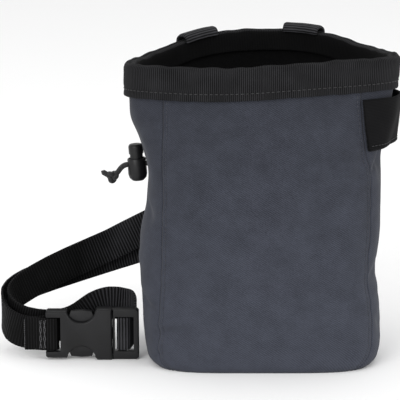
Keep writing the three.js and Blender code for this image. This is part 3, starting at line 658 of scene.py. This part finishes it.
def stitch_tree():
    """Geometry Nodes that lay one stitch after another along a curve."""
    tree = bpy.data.node_groups.new("stitches_on_a_line", "GeometryNodeTree")
    face = tree.interface
    face.new_socket("Line", in_out="INPUT", socket_type="NodeSocketGeometry")
    for name in ("Pitch", "Stitch Length", "Thread Radius"):
        face.new_socket(name, in_out="INPUT", socket_type="NodeSocketFloat")
    face.new_socket("Thread", in_out="INPUT", socket_type="NodeSocketMaterial")
    face.new_socket("Stitches", in_out="OUTPUT", socket_type="NodeSocketGeometry")
    given = add(tree, "NodeGroupInput").outputs
    spaced = add(tree, "GeometryNodeResampleCurve", {
        "Curve": given["Line"], "Length": given["Pitch"],
    }, mode="LENGTH")
    bead = add(tree, "GeometryNodeMeshUVSphere", {"Segments": 6, "Rings": 5, "Radius": 1.0})
    half = add(tree, "ShaderNodeMath", {0: given["Stitch Length"], 1: 0.5}, operation="MULTIPLY")
    size = add(tree, "ShaderNodeCombineXYZ", {
        "X": given["Thread Radius"], "Y": given["Thread Radius"], "Z": half.outputs["Value"],
    })
    along = add(tree, "GeometryNodeInputTangent")
    turned = add(tree, "FunctionNodeAlignRotationToVector", {"Vector": along.outputs["Tangent"]}, axis="Z")
    laid = add(tree, "GeometryNodeInstanceOnPoints", {
        "Points": spaced.outputs["Curve"], "Instance": bead.outputs["Mesh"],
        "Rotation": turned.outputs["Rotation"], "Scale": size.outputs["Vector"],
    })
    real = add(tree, "GeometryNodeRealizeInstances", {"Geometry": laid.outputs["Instances"]})
    soft = add(tree, "GeometryNodeSetShadeSmooth", {"Geometry": real.outputs["Geometry"]})
    dyed = add(tree, "GeometryNodeSetMaterial", {
        "Geometry": soft.outputs["Geometry"], "Material": given["Thread"],
    })
    add(tree, "NodeGroupOutput", {"Stitches": dyed.outputs["Geometry"]})
    return tree


STITCHES = stitch_tree()


def line_curve(name, lines):
    """A curve object with one straight-jointed spline for each line of points in millimetres."""
    curve = bpy.data.curves.new(name, "CURVE")
    curve.dimensions = "3D"
    for line in lines:
        spline = curve.splines.new("POLY")
        spline.points.add(len(line) - 1)
        weighted = np.concatenate([np.asarray(line) * MM, np.ones((len(line), 1))], 1)
        spline.points.foreach_set("co", weighted.ravel())
    return placed(name, curve)


def as_mesh(made, name):
    """The evaluated shape of an object as a plain mesh object; the first object is removed."""
    graph = bpy.context.evaluated_depsgraph_get()
    mesh = bpy.data.meshes.new_from_object(made.evaluated_get(graph))
    piece = placed(name, mesh)
    bpy.data.objects.remove(made)
    return piece


# Stitch pitch, stitch length and thread radius
SEAM_STITCH = (2.6, 2.0, 0.27)
BAND_STITCH = (2.9, 2.2, 0.3)
LOOP_TACK = (1.2, 1.25, 0.3)
HEM_TACK = (1.2, 1.25, 0.25)


def sew(name, lines, thread, stitch):
    """Stitches along lines that lie on the cloth, as one mesh."""
    pitch, length, radius = stitch
    made = line_curve(name + "_line", lines)
    modifier = made.modifiers.new("stitches", "NODES")
    modifier.node_group = STITCHES
    values = {
        "Pitch": pitch * MM, "Stitch Length": length * MM, "Thread Radius": radius * MM, "Thread": thread,
    }
    for item in STITCHES.interface.items_tree:
        if item.in_out == "INPUT" and item.name in values:
            modifier[item.identifier] = values[item.name]
    return as_mesh(made, name)


def dress(piece, slot, *nodes, body="bag"):
    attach(piece, body)
    if nodes:
        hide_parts(*nodes)
    return piece


# Canvas walls. Each relief has a height and a size, and the puckers fade out from the seam.
CLOTH_STEP = 1.15
SEAM_STITCH_IN = 2.4
SEAM_FOLD_IN = 1.3
SEAM_SINK = 0.35
SWELL, SWELL_SIZE = 0.9, 34
RIPPLE, RIPPLE_SIZE = 0.35, 12
PUCKER, PUCKER_SIZE, PUCKER_REACH = 0.75, 7, 7


def canvas_face(start, end, columns, stitch_sink):
    """Outer face of a canvas panel between two seams, with its creases, puckers and stitched edges."""
    rows = int(TOP_EDGE / CLOTH_STEP)
    share = np.linspace(0, 1, columns + 1)
    grid = np.array([
        wall(lerp(start(z), end(z), share), z) for z in np.linspace(0, TOP_EDGE, rows + 1)
    ])
    width = np.linalg.norm(np.diff(grid, axis=1), axis=2).sum(1)[:, None]
    from_seam = np.minimum(share, 1 - share)[None, :] * width
    free = smooth((BAND_FOOT + 6 - grid[..., 2]) / 8) * smooth((grid[..., 2] + 1) / 6)
    drawn = noise_relief(grid * np.array([0.35, 0.35, 1.0]), PUCKER_SIZE, 1)
    pucker = drawn * np.exp(-from_seam / PUCKER_REACH)
    relief = free * crease_relief(grid)
    relief += free * SWELL * noise_relief(grid, SWELL_SIZE, 2) * smooth(from_seam / 12)
    relief += free * RIPPLE * noise_relief(grid, RIPPLE_SIZE, 3)
    relief += PUCKER * free * pucker
    relief -= SEAM_SINK * bell(from_seam / 0.7)
    relief -= stitch_sink * bell((from_seam - SEAM_STITCH_IN) / 0.8)
    relief += 0.2 * bell((from_seam - SEAM_FOLD_IN) / 0.7)
    return grid + grid_normals(grid) * relief[..., None]


def canvas_panel(name, outer):
    inner = outer - grid_normals(outer) * CANVAS_THICK
    return two_sided(name, outer, inner, grid_uv(outer), CANVAS)


def seam_gap(z):
    return FIT / ring_length(z)


def sewn_gap(z):
    return 0.1 * seam_gap(z)


front_face = canvas_face(
    lambda z: seam_around(z, -1), lambda z: seam_around(z, 1), columns=104, stitch_sink=0.35,
)
dress(canvas_panel("front_canvas", front_face), "canvas", "front_panel")
side_face = canvas_face(
    lambda z: seam_around(z, 1) + sewn_gap(z), lambda z: seam_around(z, -1) + 1 - sewn_gap(z),
    columns=250, stitch_sink=0.1,
)
dress(canvas_panel("side_back_canvas", side_face), "canvas", "side_back_panel")


def canvas_base():
    """D-shaped base panel, its edge turned in and rounded, with a small hole at the middle closed."""
    columns = 180
    turned_in = 0.5
    around = np.arange(columns) / columns
    rim = wall(around, 0, -CANVAS_THICK - 2 * FIT)[:, :2]
    middle = rim.mean(0)
    shares = np.concatenate([[1.0, 0.985, 0.96], np.linspace(0.93, 0.02, 26)])
    edge = turned_in * bell((1 - shares) / 0.012)
    outer, inner = [], []
    for share, lift in zip(shares, edge):
        flat = middle + (rim - middle) * share
        outer.append(np.column_stack([flat, np.full(columns, lift)]))
        inner.append(np.column_stack([flat, np.full(columns, BASE_THICK - 0.5 * lift)]))
    outer, inner = np.array(outer[::-1]), np.array(inner[::-1])
    uv = np.concatenate([outer, outer[:, :1]], 1)[..., :2]
    return faced_outwards(two_sided("canvas_base", inner, outer, uv, CANVAS, closed=True))


dress(canvas_base(), "canvas", "base_panel")


def lining_slack(z):
    loose = LINING_LOOSE * smooth((BAND_FOOT - z) / NECK_SPREAD)
    return LINING_GAP + loose + GATHER_DEPTH * bell((z - NECK_HEIGHT) / (1.4 * NECK_SPREAD))


def fleece_lining():
    """Inner bag: a floor that turns up into the wall, with soft folds that only stand inwards."""
    columns = 200
    around = np.arange(columns) / columns
    floor = BASE_THICK + FIT
    foot = SECTIONS[2, 0] * BAG_HEIGHT
    rows = []
    for share in np.linspace(0.01, 0.94, 14):
        ringed = wall(around, floor, -CANVAS_THICK - lining_slack(floor), 0)
        rows.append(np.column_stack([ringed[:, :2] * share, np.full(columns, floor)]))
    for t in np.linspace(0, 1, 8):
        z = lerp(floor, foot, t)
        ringed = wall(around, z, -CANVAS_THICK - lining_slack(z), 0)
        ringed[:, :2] *= lerp(0.965, 1, smooth(t))
        rows.append(ringed)
    for z in np.linspace(foot + 2.5, TOP_EDGE, 66):
        rows.append(wall(around, z, -CANVAS_THICK - lining_slack(z), 0))
    outer = np.array(rows)
    normals = grid_normals(outer, True)
    folds = 0.5 + 0.5 * noise_relief(outer * np.array([1, 1, 0.3]), 11, 5)
    below = smooth((BAND_FOOT - outer[..., 2]) / 20) * smooth((outer[..., 2] - 3) / 20)
    inner = outer - normals * (LINING_THICK + LINING_FOLDS * folds * below)[..., None]
    return two_sided("fleece_lining", outer, inner, grid_uv(outer, True), FLEECE, closed=True)


dress(fleece_lining(), "fleece", "lining")

# Rim band: rounded rows of a U-shaped section. 'out' is the distance outside the canvas and 'up'
# the height over its top edge, in millimetres. A groove runs between the two lips on top.
BAND_SECTION = (
    (2.45, -16.48), (2.60, -15.9), (2.45, -14.6), (2.15, -12.9), (2.05, -12.3), (2.2, -11.6),
    (2.45, -10.0), (2.45, -8.0), (2.35, -5.5), (2.3, -3.0), (2.3, -1.2), (2.2, 0.2), (1.85, 1.3),
    (1.2, 2.1), (0.3, 2.5), (-0.6, 2.25), (-1.0, 1.75), (-1.5, 1.6), (-2.0, 1.8), (-2.5, 2.3),
    (-3.3, 2.5), (-4.3, 2.3), (-5.1, 1.6), (-5.5, 0.4), (-5.6, -1.2), (-5.6, -4), (-5.5, -6.4),
    (-5.55, -7.6), (-5.6, -8.8), (-5.6, -10.0), (-5.5, -10.48), (-4.4, -10.5), (-4.0, -9.9),
    (-4.0, -5.0), (-4.0, 0.0), (-3.4, 0.3), (-0.2, 0.3), (0.6, 0.0), (0.6, -6.0), (0.6, -11.5),
    (0.6, -16.2), (1.0, -16.5),
)
BAND_STITCH_AT = (2.2, -12.3)
BAND_COLUMNS = 420
BAND_MIDDLE = -1.7
BAND_SWAY = 0.25
BAND_FOOT_WAVE = 0.4


def band_wave(points):
    """Small unevenness of the folded band, the same all through its thickness."""
    flat = points * LEVEL
    return 0.75 * noise_relief(flat, 8, 11) + 0.6 * noise_relief(flat, 22, 12)


def band_point(around, out, up):
    place = wall(around, TOP_EDGE + min(up, 0), out, 0)
    place[..., 2] += max(up, 0)
    return place


def band_sway(around, out, up):
    """Small sideways unevenness of the band's outer face, along x and y."""
    _, normal = plan(around, TOP_EDGE)
    flat = band_point(around, BAND_MIDDLE, 0) * LEVEL
    sway = BAND_SWAY * noise_relief(flat, 7, 14) * smooth((up + 16) / 4) * (out > 1.0)
    return sway[..., None] * normal


def rim_band():
    around = np.arange(BAND_COLUMNS) / BAND_COLUMNS
    grid = np.array([band_point(around, out, up) for out, up in BAND_SECTION])
    outs, ups = np.array(BAND_SECTION).T[..., None]
    middle = band_point(around, BAND_MIDDLE, 0)
    grid[..., 2] += smooth((ups + 3) / 5) * (band_wave(middle) - 0.4)
    foot_share = smooth((-13 - ups) / 3) * (outs > 1.5)
    grid[..., 2] += foot_share * BAND_FOOT_WAVE * noise_relief(middle * LEVEL, 6, 13)
    grid[..., :2] += band_sway(around, outs, ups)
    corners = quad_corners(len(grid), BAND_COLUMNS)
    u = np.linspace(0, ring_length(TOP_EDGE), BAND_COLUMNS + 1)
    v = way_along(np.array(BAND_SECTION + BAND_SECTION[:1]))
    faces = quad_faces(corners, len(grid), BAND_COLUMNS)
    piece = new_object("grosgrain_rim_band", grid.reshape(-1, 3), faces, quad_uv(corners, u, v), BAND)
    # Faces inside the mouth take the darker copy of the band's cloth: painted shade
    piece.data.materials.append(BAND_PAINTED_SHADE)
    inside = np.repeat((outs[:, 0] < -4.5) & (ups[:, 0] < 1.7), BAND_COLUMNS)
    piece.data.polygons.foreach_set("material_index", inside.astype(np.int32))
    return piece


dress(rim_band(), "band", "rim_band")


# Brush loop: a band sewn down at both ends that stands off the right side between them
BRUSH_HEM_UP = 3.2


def loop_rise(t):
    rounded = smooth((np.minimum(t, 1 - t) - 0.04) / 0.3)
    return rounded * lerp(0.36, 1, smooth((t - 0.3) / 0.3))


def brush_loop():
    columns, rows = 56, 34
    top = BAND_FOOT - BRUSH_LOOP_DROP
    t = np.linspace(0, 1, columns + 1)
    stand = loop_rise(t)

    def sheet(out):
        grid = []
        for z in np.linspace(top - BRUSH_LOOP_HEIGHT, top, rows + 1):
            around = lerp(seam_around(z, 1) + 2 * seam_gap(z), BRUSH_LOOP_END, t)
            high = wall(around, top, out + FIT + BRUSH_LOOP_STAND * stand, 0)
            near = wall(around, z, out + 2 * FIT + BRUSH_LOOP_STAND * stand, 1)
            mixed = lerp(near, high, 0.6 * stand[:, None])
            mixed[:, 2] = near[:, 2]
            grid.append(mixed)
        return np.array(grid)

    outer, inner = sheet(BRUSH_LOOP_THICK), sheet(0)
    low = outer[..., 2] - outer[0, :, 2]
    normals = grid_normals(outer)
    relief = 0.25 * noise_relief(outer, 9, 21)
    relief += 0.25 * bell((low - 1.2) / 1.2) - 0.35 * bell((low - BRUSH_HEM_UP) / 0.7)
    relief -= 0.5 * bell(low / 0.6) + 0.5 * bell((outer[-1, :, 2] - outer[..., 2]) / 0.6)
    outer = outer + normals * relief[..., None]
    piece = two_sided("brush_loop_band", outer, inner, grid_uv(outer)[..., ::-1], LOOP_BAND)
    hem = lerp(outer[3], outer[4], 0.5) + normals[3] * 0.15
    return piece, hem[2:-2]


brush_band, brush_hem = brush_loop()
dress(brush_band, "band", "brush_loop")

# Belt loops: straps from a foot on the back, up outside the band, arched over the rim
LOOP_LOW = WEB_THICK + 2 * WEB_GAP + BELT_SLACK
LOOP_TACK_ROWS = (3, 6, 10, 80, 83)
LOOP_RELAX = 20


def loop_stand(z):
    at = (z - BELT_LOOP_FOOT) / (BAND_FOOT - BELT_LOOP_FOOT)
    return FIT + np.interp(at, LOOP_STAND_AT, LOOP_STAND) * (LOOP_LOW + FIT)


def back_around_at(x):
    points, lengths = ring(BAND_FOOT)
    found = np.nonzero((points[:, 1] > 0) & (points[:, 0] <= x))[0]
    return lengths[found[0]] / lengths[-1]


def belt_loop(name, x):
    columns = 22
    middle = back_around_at(x)
    span = BELT_LOOP_WIDTH / ring_length(BAND_FOOT)
    around = middle + span * (np.arange(columns + 1) / columns - 0.5)
    outside = BAND_GAP + BAND_THICK + FIT
    inside = -BAND_INNER - BAND_THICK - FIT
    radius, centre = (outside - inside) / 2, (outside + inside) / 2

    def sheet(out):
        grid = []
        for z in np.linspace(BELT_LOOP_FOOT, BAND_FOOT, 80):
            over_gathers = 1.2 * float(bell((z - NECK_HEIGHT) / LOOP_RELAX))
            stand = max(loop_stand(z), GATHER_DEPTH * over_gathers)
            grid.append(wall(around, z, stand + out, 0))
        for z in np.linspace(BAND_FOOT, TOP_EDGE, 12)[1:-1]:
            share = float(smooth((z - BAND_FOOT) / 5))
            grid.append(wall(around, z, lerp(loop_stand(BAND_FOOT), outside + 0.35, share) + out, 0))
        for angle in np.linspace(0, math.pi, 26):
            ringed = wall(around, TOP_EDGE, centre + (radius + out) * math.cos(angle), 0)
            ringed[:, 2] += BAND_TOP - ARCH_FOOT + (BELT_LOOP_ARCH + ARCH_FOOT + out) * math.sin(angle)
            grid.append(ringed)
        for drop in np.linspace(ARCH_FOOT + 0.25, BELT_LOOP_INSIDE, 3):
            end = wall(around, TOP_EDGE, inside - out, 0)
            end[:, 2] += BAND_TOP - drop
            grid.append(end)
        return np.array(grid)

    outer, inner = sheet(BELT_LOOP_THICK), sheet(0)
    normals = grid_normals(outer)
    column = np.arange(columns + 1)
    edge = np.minimum(column, columns - column) * BELT_LOOP_WIDTH / columns
    relief = -0.45 * bell(edge / 0.7) + 0.12 * bell((edge - 1.6) / 0.6)
    outer = outer + normals * (relief + 0.15 * noise_relief(outer, 8, 31))[..., None]
    piece = two_sided(name, outer, inner, grid_uv(outer), WEBBING)
    lift = outer + normals * 0.2
    tacks = [
        np.array([lift[row + k % 2, 2 + k] for k in range(columns - 3)]) for row in LOOP_TACK_ROWS
    ]
    return piece, tacks


tack_lines = []
for loop_name, loop_x in BELT_LOOP_PLACES.items():
    strap, tacks = belt_loop(loop_name + "_webbing", loop_x)
    dress(strap, "webbing", loop_name)
    tack_lines += tacks

# Belt webbing: out from the buckle it runs outside both belt loops, and it comes back through them
BELT_STEP = 1.2


def belt_path():
    """Middle line and width direction of the belt, read off the frame's own strap ring by ring."""
    mesh = bmesh.new()
    mesh.from_mesh(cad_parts["belt_webbing"].data)
    bmesh.ops.remove_doubles(mesh, verts=mesh.verts, dist=1e-6)
    caps = [v for v in mesh.verts if len(v.link_edges) == 4]
    start = min(caps, key=lambda v: v.co.y)
    seen, layer, rings = {start}, [start], []
    while layer:
        layer = list({e.other_vert(v) for v in layer for e in v.link_edges} - seen)
        seen.update(layer)
        if len(layer) == 4:
            rings.append(sorted((v.co.copy() / MM for v in layer), key=lambda p: p.z))
    mesh.free()
    middle = np.array([np.mean([list(p) for p in ringed], 0) for ringed in rings])
    up = np.array([list((r[2] + r[3]) / 2 - (r[0] + r[1]) / 2) for r in rings])
    return middle, unit(up)


def resampled(points, step, *others):
    """Even distances along a line, with its points and any other rows read off at each."""
    lengths = way_along(points)
    wanted = np.linspace(0, lengths[-1], int(lengths[-1] / step) + 1)
    return wanted, *[
        np.stack([np.interp(wanted, lengths, rows[:, k]) for k in range(3)], 1) for rows in (points, *others)
    ]


def blurred(rows, reach):
    """Rows smoothed along the line over a few neighbours, ends kept."""
    weights = bell(np.arange(-reach, reach + 1) / (0.6 * reach))
    weights /= weights.sum()
    padded = np.concatenate([np.repeat(rows[:1], reach, 0), rows, np.repeat(rows[-1:], reach, 0)])
    return np.stack([np.convolve(padded[:, k], weights, mode="valid") for k in range(3)], 1)


def tube_mesh(name, grid, corners, u, v, ends, material):
    """A tube through rings of points; each end row that is closed comes with its winding."""
    rows, sides = grid.shape[:2]
    faces = quad_faces(corners, rows, sides).tolist()
    uv = quad_uv(corners, u, v).tolist()
    for row, order in ends:
        faces.append([row * sides + k for k in range(sides)][::order])
        uv += [[u[k], v[row]] for k in range(sides)][::order]
    return faced_outwards(new_object(name, grid.reshape(-1, 3), faces, uv, material))


def swept_strap(name, middle, up, lengths, width, thick, material):
    """A strap with rounded edges and a slightly thicker selvage, swept along a line."""
    across = unit(np.cross(unit(np.gradient(middle, axis=0)), up))
    half = width / 2
    face = np.linspace(-1, 1, 15)
    swell = thick / 2 * (1 - 0.16 * bell((np.abs(face) - 0.78) / 0.07))
    heights = np.concatenate([face * (half - 0.55), [half - 0.15, half, half - 0.15]])
    depths = np.concatenate([swell, [0.5 * thick * 0.75, 0, -0.5 * thick * 0.75]])
    heights = np.concatenate([heights, -heights[:15], [-half + 0.15, -half, -half + 0.15]])
    depths = np.concatenate([depths, -swell, [-0.5 * thick * 0.75, 0, 0.5 * thick * 0.75]])
    grid = middle[:, None] + up[:, None] * heights[None, :, None] + across[:, None] * depths[None, :, None]
    last = len(middle) - 1
    first, second, third, fourth = quad_corners(last, len(heights))
    profile = np.stack([heights, depths], 1)
    u = way_along(np.concatenate([profile, profile[:1]]))
    corners = [first, fourth, third, second]
    return tube_mesh(name, grid, corners, u, lengths, ((0, 1), (last, -1)), material), across


line, width_way = belt_path()
lengths, line, width_way = resampled(line, BELT_STEP, width_way)
line = blurred(line, 2)
width_way = unit(width_way)
belt, thick_way = swept_strap("belt_strap", line, width_way, lengths, WEB_WIDTH, WEB_THICK, WEBBING)
dress(belt, "webbing", "belt_webbing")

# Cord lock, draw cord and knot
CORD_RADIUS = 1.6
CORD_POINTS = (
    (-64.9, -1.8, 114.2), (-67.8, -1.6, 114.05), (-73.1, -1.5, 113.7), (-77.8, -1.5, 113.3),
    (-80.4, -1.4, 112.7), (-82.4, -1.3, 111.2), (-83.8, -1.2, 109.4), (-84.5, -1.2, 108.5),
)
KNOT_MIDDLE = (-87.7, -1.2, 105.8)
TAIL_END = (-94.4, -1.2, 109.1)


def rounded_line(points, steps):
    """Points on a smooth line through the given ones."""
    points = np.asarray(points, float)
    padded = np.concatenate([[2 * points[0] - points[1]], points, [2 * points[-1] - points[-2]]])
    made = []
    for a, b, c, d in zip(padded, padded[1:], padded[2:], padded[3:]):
        for t in np.linspace(0, 1, steps, endpoint=False):
            made.append(0.5 * (2 * b + (c - a) * t + (2 * a - 5 * b + 4 * c - d) * t ** 2
                               + (3 * b - a - 3 * c + d) * t ** 3))
    return np.array(made + [points[-1]])


def cord_tube(name, line, radius, closed=False, sides=14):
    """A round tube along a line, with its UV in millimetres and melted ends rounded over."""
    count = len(line)
    if closed:
        tangent = np.roll(line, -1, 0) - np.roll(line, 1, 0)
    else:
        tangent = np.gradient(line, axis=0)
    tangent = unit(tangent)
    side = np.cross(tangent[0], (0, 0, 1))
    frames = []
    for way in tangent:
        side = side - way * np.dot(side, way)
        side = side / np.linalg.norm(side)
        frames.append((side, np.cross(way, side)))
    angle = 2 * math.pi * np.arange(sides) / sides
    lengths = way_along(line)
    reach = np.full(count, radius) if closed else np.minimum(lengths, lengths[-1] - lengths)
    melted = 1 - np.clip(reach / (0.6 * radius), 0, 1)
    radii = radius * np.sqrt(np.clip(1 - np.square(melted), 0.02, 1))
    grid = np.array([
        p + r * (np.cos(angle)[:, None] * a + np.sin(angle)[:, None] * b)
        for p, r, (a, b) in zip(line, radii, frames)
    ])
    corners = quad_corners(count if closed else count - 1, sides)
    u = np.arange(sides + 1) * (2 * math.pi * radius / sides)
    v = np.append(lengths, lengths[-1] + 1)
    return tube_mesh(name, grid, corners, u, v, () if closed else ((0, -1), (count - 1, 1)), SHEATH)


def overhand_knot():
    """The cord wound once over and through itself, pulled tight."""
    t = np.linspace(0, 2 * math.pi, 120, endpoint=False)
    size = 0.9
    wound = np.stack([
        size * (np.sin(t) + 2 * np.sin(2 * t)),
        size * 1.15 * -np.sin(3 * t),
        size * (np.cos(t) - 2 * np.cos(2 * t)),
    ], 1)
    tight = 0.95 * CORD_RADIUS
    return cord_tube("cord_overhand_knot", wound + np.array(KNOT_MIDDLE), tight, closed=True)


cord_line = rounded_line(CORD_POINTS + (KNOT_MIDDLE, TAIL_END), 6)
cord = dress(cord_tube("braided_draw_cord", cord_line, CORD_RADIUS), "cord", "draw_cord")
knot = dress(overhand_knot(), "cord", "cord_knot")


# Moulded parts: edges sharper than the first angle are rounded, than the second are shaded sharp
ROUNDED_FROM = 28
SHARP_FROM = 38


def moulded_copy(node, name, bevel):
    """A copy of a moulded part of the frame with its sharp edges rounded over."""
    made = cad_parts[node].copy()
    made.data = made.data.copy()
    for key in list(made.keys()):
        del made[key]
    made.parent = None
    made.name = name
    bpy.context.scene.collection.objects.link(made)
    mesh = bmesh.new()
    mesh.from_mesh(made.data)
    bmesh.ops.remove_doubles(mesh, verts=mesh.verts, dist=2e-6)
    bmesh.ops.dissolve_limit(mesh, angle_limit=math.radians(2), verts=mesh.verts, edges=mesh.edges)
    mesh.to_mesh(made.data)
    mesh.free()
    rounding = made.modifiers.new("rounded_edges", "BEVEL")
    rounding.width = bevel * MM
    rounding.segments = 3
    rounding.limit_method = "ANGLE"
    rounding.angle_limit = math.radians(ROUNDED_FROM)
    rounding.use_clamp_overlap = True
    piece = as_mesh(made, name)
    piece.data.materials.clear()
    piece.data.materials.append(PLASTIC)
    piece.data.shade_smooth()
    piece.data.set_sharp_from_angle(angle=math.radians(SHARP_FROM))
    return piece


for node, name, bevel, body in (
    ("buckle_female", "buckle_socket", 0.45, "bag"),
    ("buckle_male", "buckle_prongs", 0.4, "bag"),
    ("cord_lock_barrel", "lock_barrel", 0.3, "bag"),
    ("cord_lock_button", "lock_button_cap", 0.35, "lock_button"),
):
    dress(moulded_copy(node, name, bevel), "plastic", node, body=body)


# Stitching
THREAD_LIFT = 0.12
HEM_EDGE = 0.4
HEM_ROWS = (10.6, 12.2)


def seam_lines(face, inset):
    """Lines a set way in from both edges of a panel, just above its face."""
    normals = grid_normals(face)
    lines = []
    for way in (1, -1):
        ordered, facing = face[:, ::way], normals[:, ::way]
        steps = np.linalg.norm(np.diff(ordered, axis=1), axis=2).mean(0)
        place = np.searchsorted(np.cumsum(steps), inset) + 1
        row = ordered[:, place] + facing[:, place] * THREAD_LIFT
        lines.append(row[(row[:, 2] > 3) & (row[:, 2] < BAND_FOOT + 1)])
    return lines


def band_line(out, up):
    around = np.linspace(0, 1, 400)
    place = band_point(around, out, up)
    place[:, :2] += band_sway(around, out, up)
    return place


def strap_tack(start, zigzag, side):
    """Bar tack across the strap from one place along it, straight or in a zigzag of so many steps."""
    first = int(start / BELT_STEP)
    ways = np.linspace(-0.42, 0.42, 30) * WEB_WIDTH
    points = []
    for k, w in enumerate(ways):
        row = first + (k % 2) * zigzag
        points.append(line[row] + width_way[row] * w + thick_way[row] * side * (WEB_THICK / 2 + 0.1))
    return np.array(points)


hem_lines = [strap_tack(HEM_EDGE, 0, side) for side in (1, -1)]
hem_lines += [strap_tack(start, 1, side) for side in (-1, 1) for start in HEM_ROWS]
for name, slot, lines, thread, stitch in (
    ("front_seam_stitches", "canvas", seam_lines(front_face, SEAM_STITCH_IN), SLATE_THREAD, SEAM_STITCH),
    ("band_stitches", "band", [band_line(*BAND_STITCH_AT)], BLACK_THREAD, BAND_STITCH),
    ("brush_loop_stitches", "band", [brush_hem], BLACK_THREAD, SEAM_STITCH),
    ("belt_loop_tacks", "webbing", tack_lines, BLACK_THREAD, LOOP_TACK),
    ("belt_hem_tacks", "webbing", hem_lines, GREY_THREAD, HEM_TACK),
):
    dress(sew(name, lines, thread, stitch), slot)


# Floor and light, in metres and watts: each lamp's place, width and power
FLOOR_REACH = 8
SKY_STRENGTH = 0.92
LAMP_AIM = (-0.03, 0, 0.09)
LAMPS = (
    ("key_softbox", (-0.8, -1.5, 0.8), 1.0, 14),
    ("fill_softbox", (1.2, -1.1, 0.4), 1.0, 9),
    ("top_softbox", (0.0, 0.3, 1.5), 1.2, 3),
)


def studio():
    floor = bpy.data.meshes.new("studio_floor")
    corners = [(x * FLOOR_REACH, y * FLOOR_REACH, 0) for x, y in ((-1, -1), (1, -1), (1, 1), (-1, 1))]
    floor.from_pydata(corners, [], [(0, 1, 2, 3)])
    material, tree, shader = new_material("matt_white_paper")
    place = add(tree, "ShaderNodeTexCoord").outputs["Object"]
    fibre = add(tree, "ShaderNodeTexNoise", {"Vector": place, "Scale": 300.0, "Detail": 2.0})
    bump = add(tree, "ShaderNodeBump", {
        "Height": fibre.outputs["Fac"], "Strength": 0.05, "Distance": 0.2 * MM,
    })
    feed(shader, {"Normal": bump.outputs["Normal"], "Base Color": linear("#f7f7f7"), "Roughness": 0.95})
    floor.materials.append(material)
    paper = placed("studio_floor", floor)
    world = bpy.data.worlds.new("studio_white")
    world.use_nodes = True
    feed(world.node_tree.nodes["Background"], {"Color": (1, 1, 1, 1), "Strength": SKY_STRENGTH})
    bpy.context.scene.world = world
    bpy.context.scene.view_settings.view_transform = "Standard"
    for name, place, size, power in LAMPS:
        light = bpy.data.lights.new(name, "AREA")
        light.shape = "DISK"
        light.size = size
        light.energy = power
        lamp = placed(name, light)
        lamp.location = place
        aim = Vector(LAMP_AIM) - Vector(place)
        lamp.rotation_euler = aim.to_track_quat("-Z", "Y").to_euler()


studio()
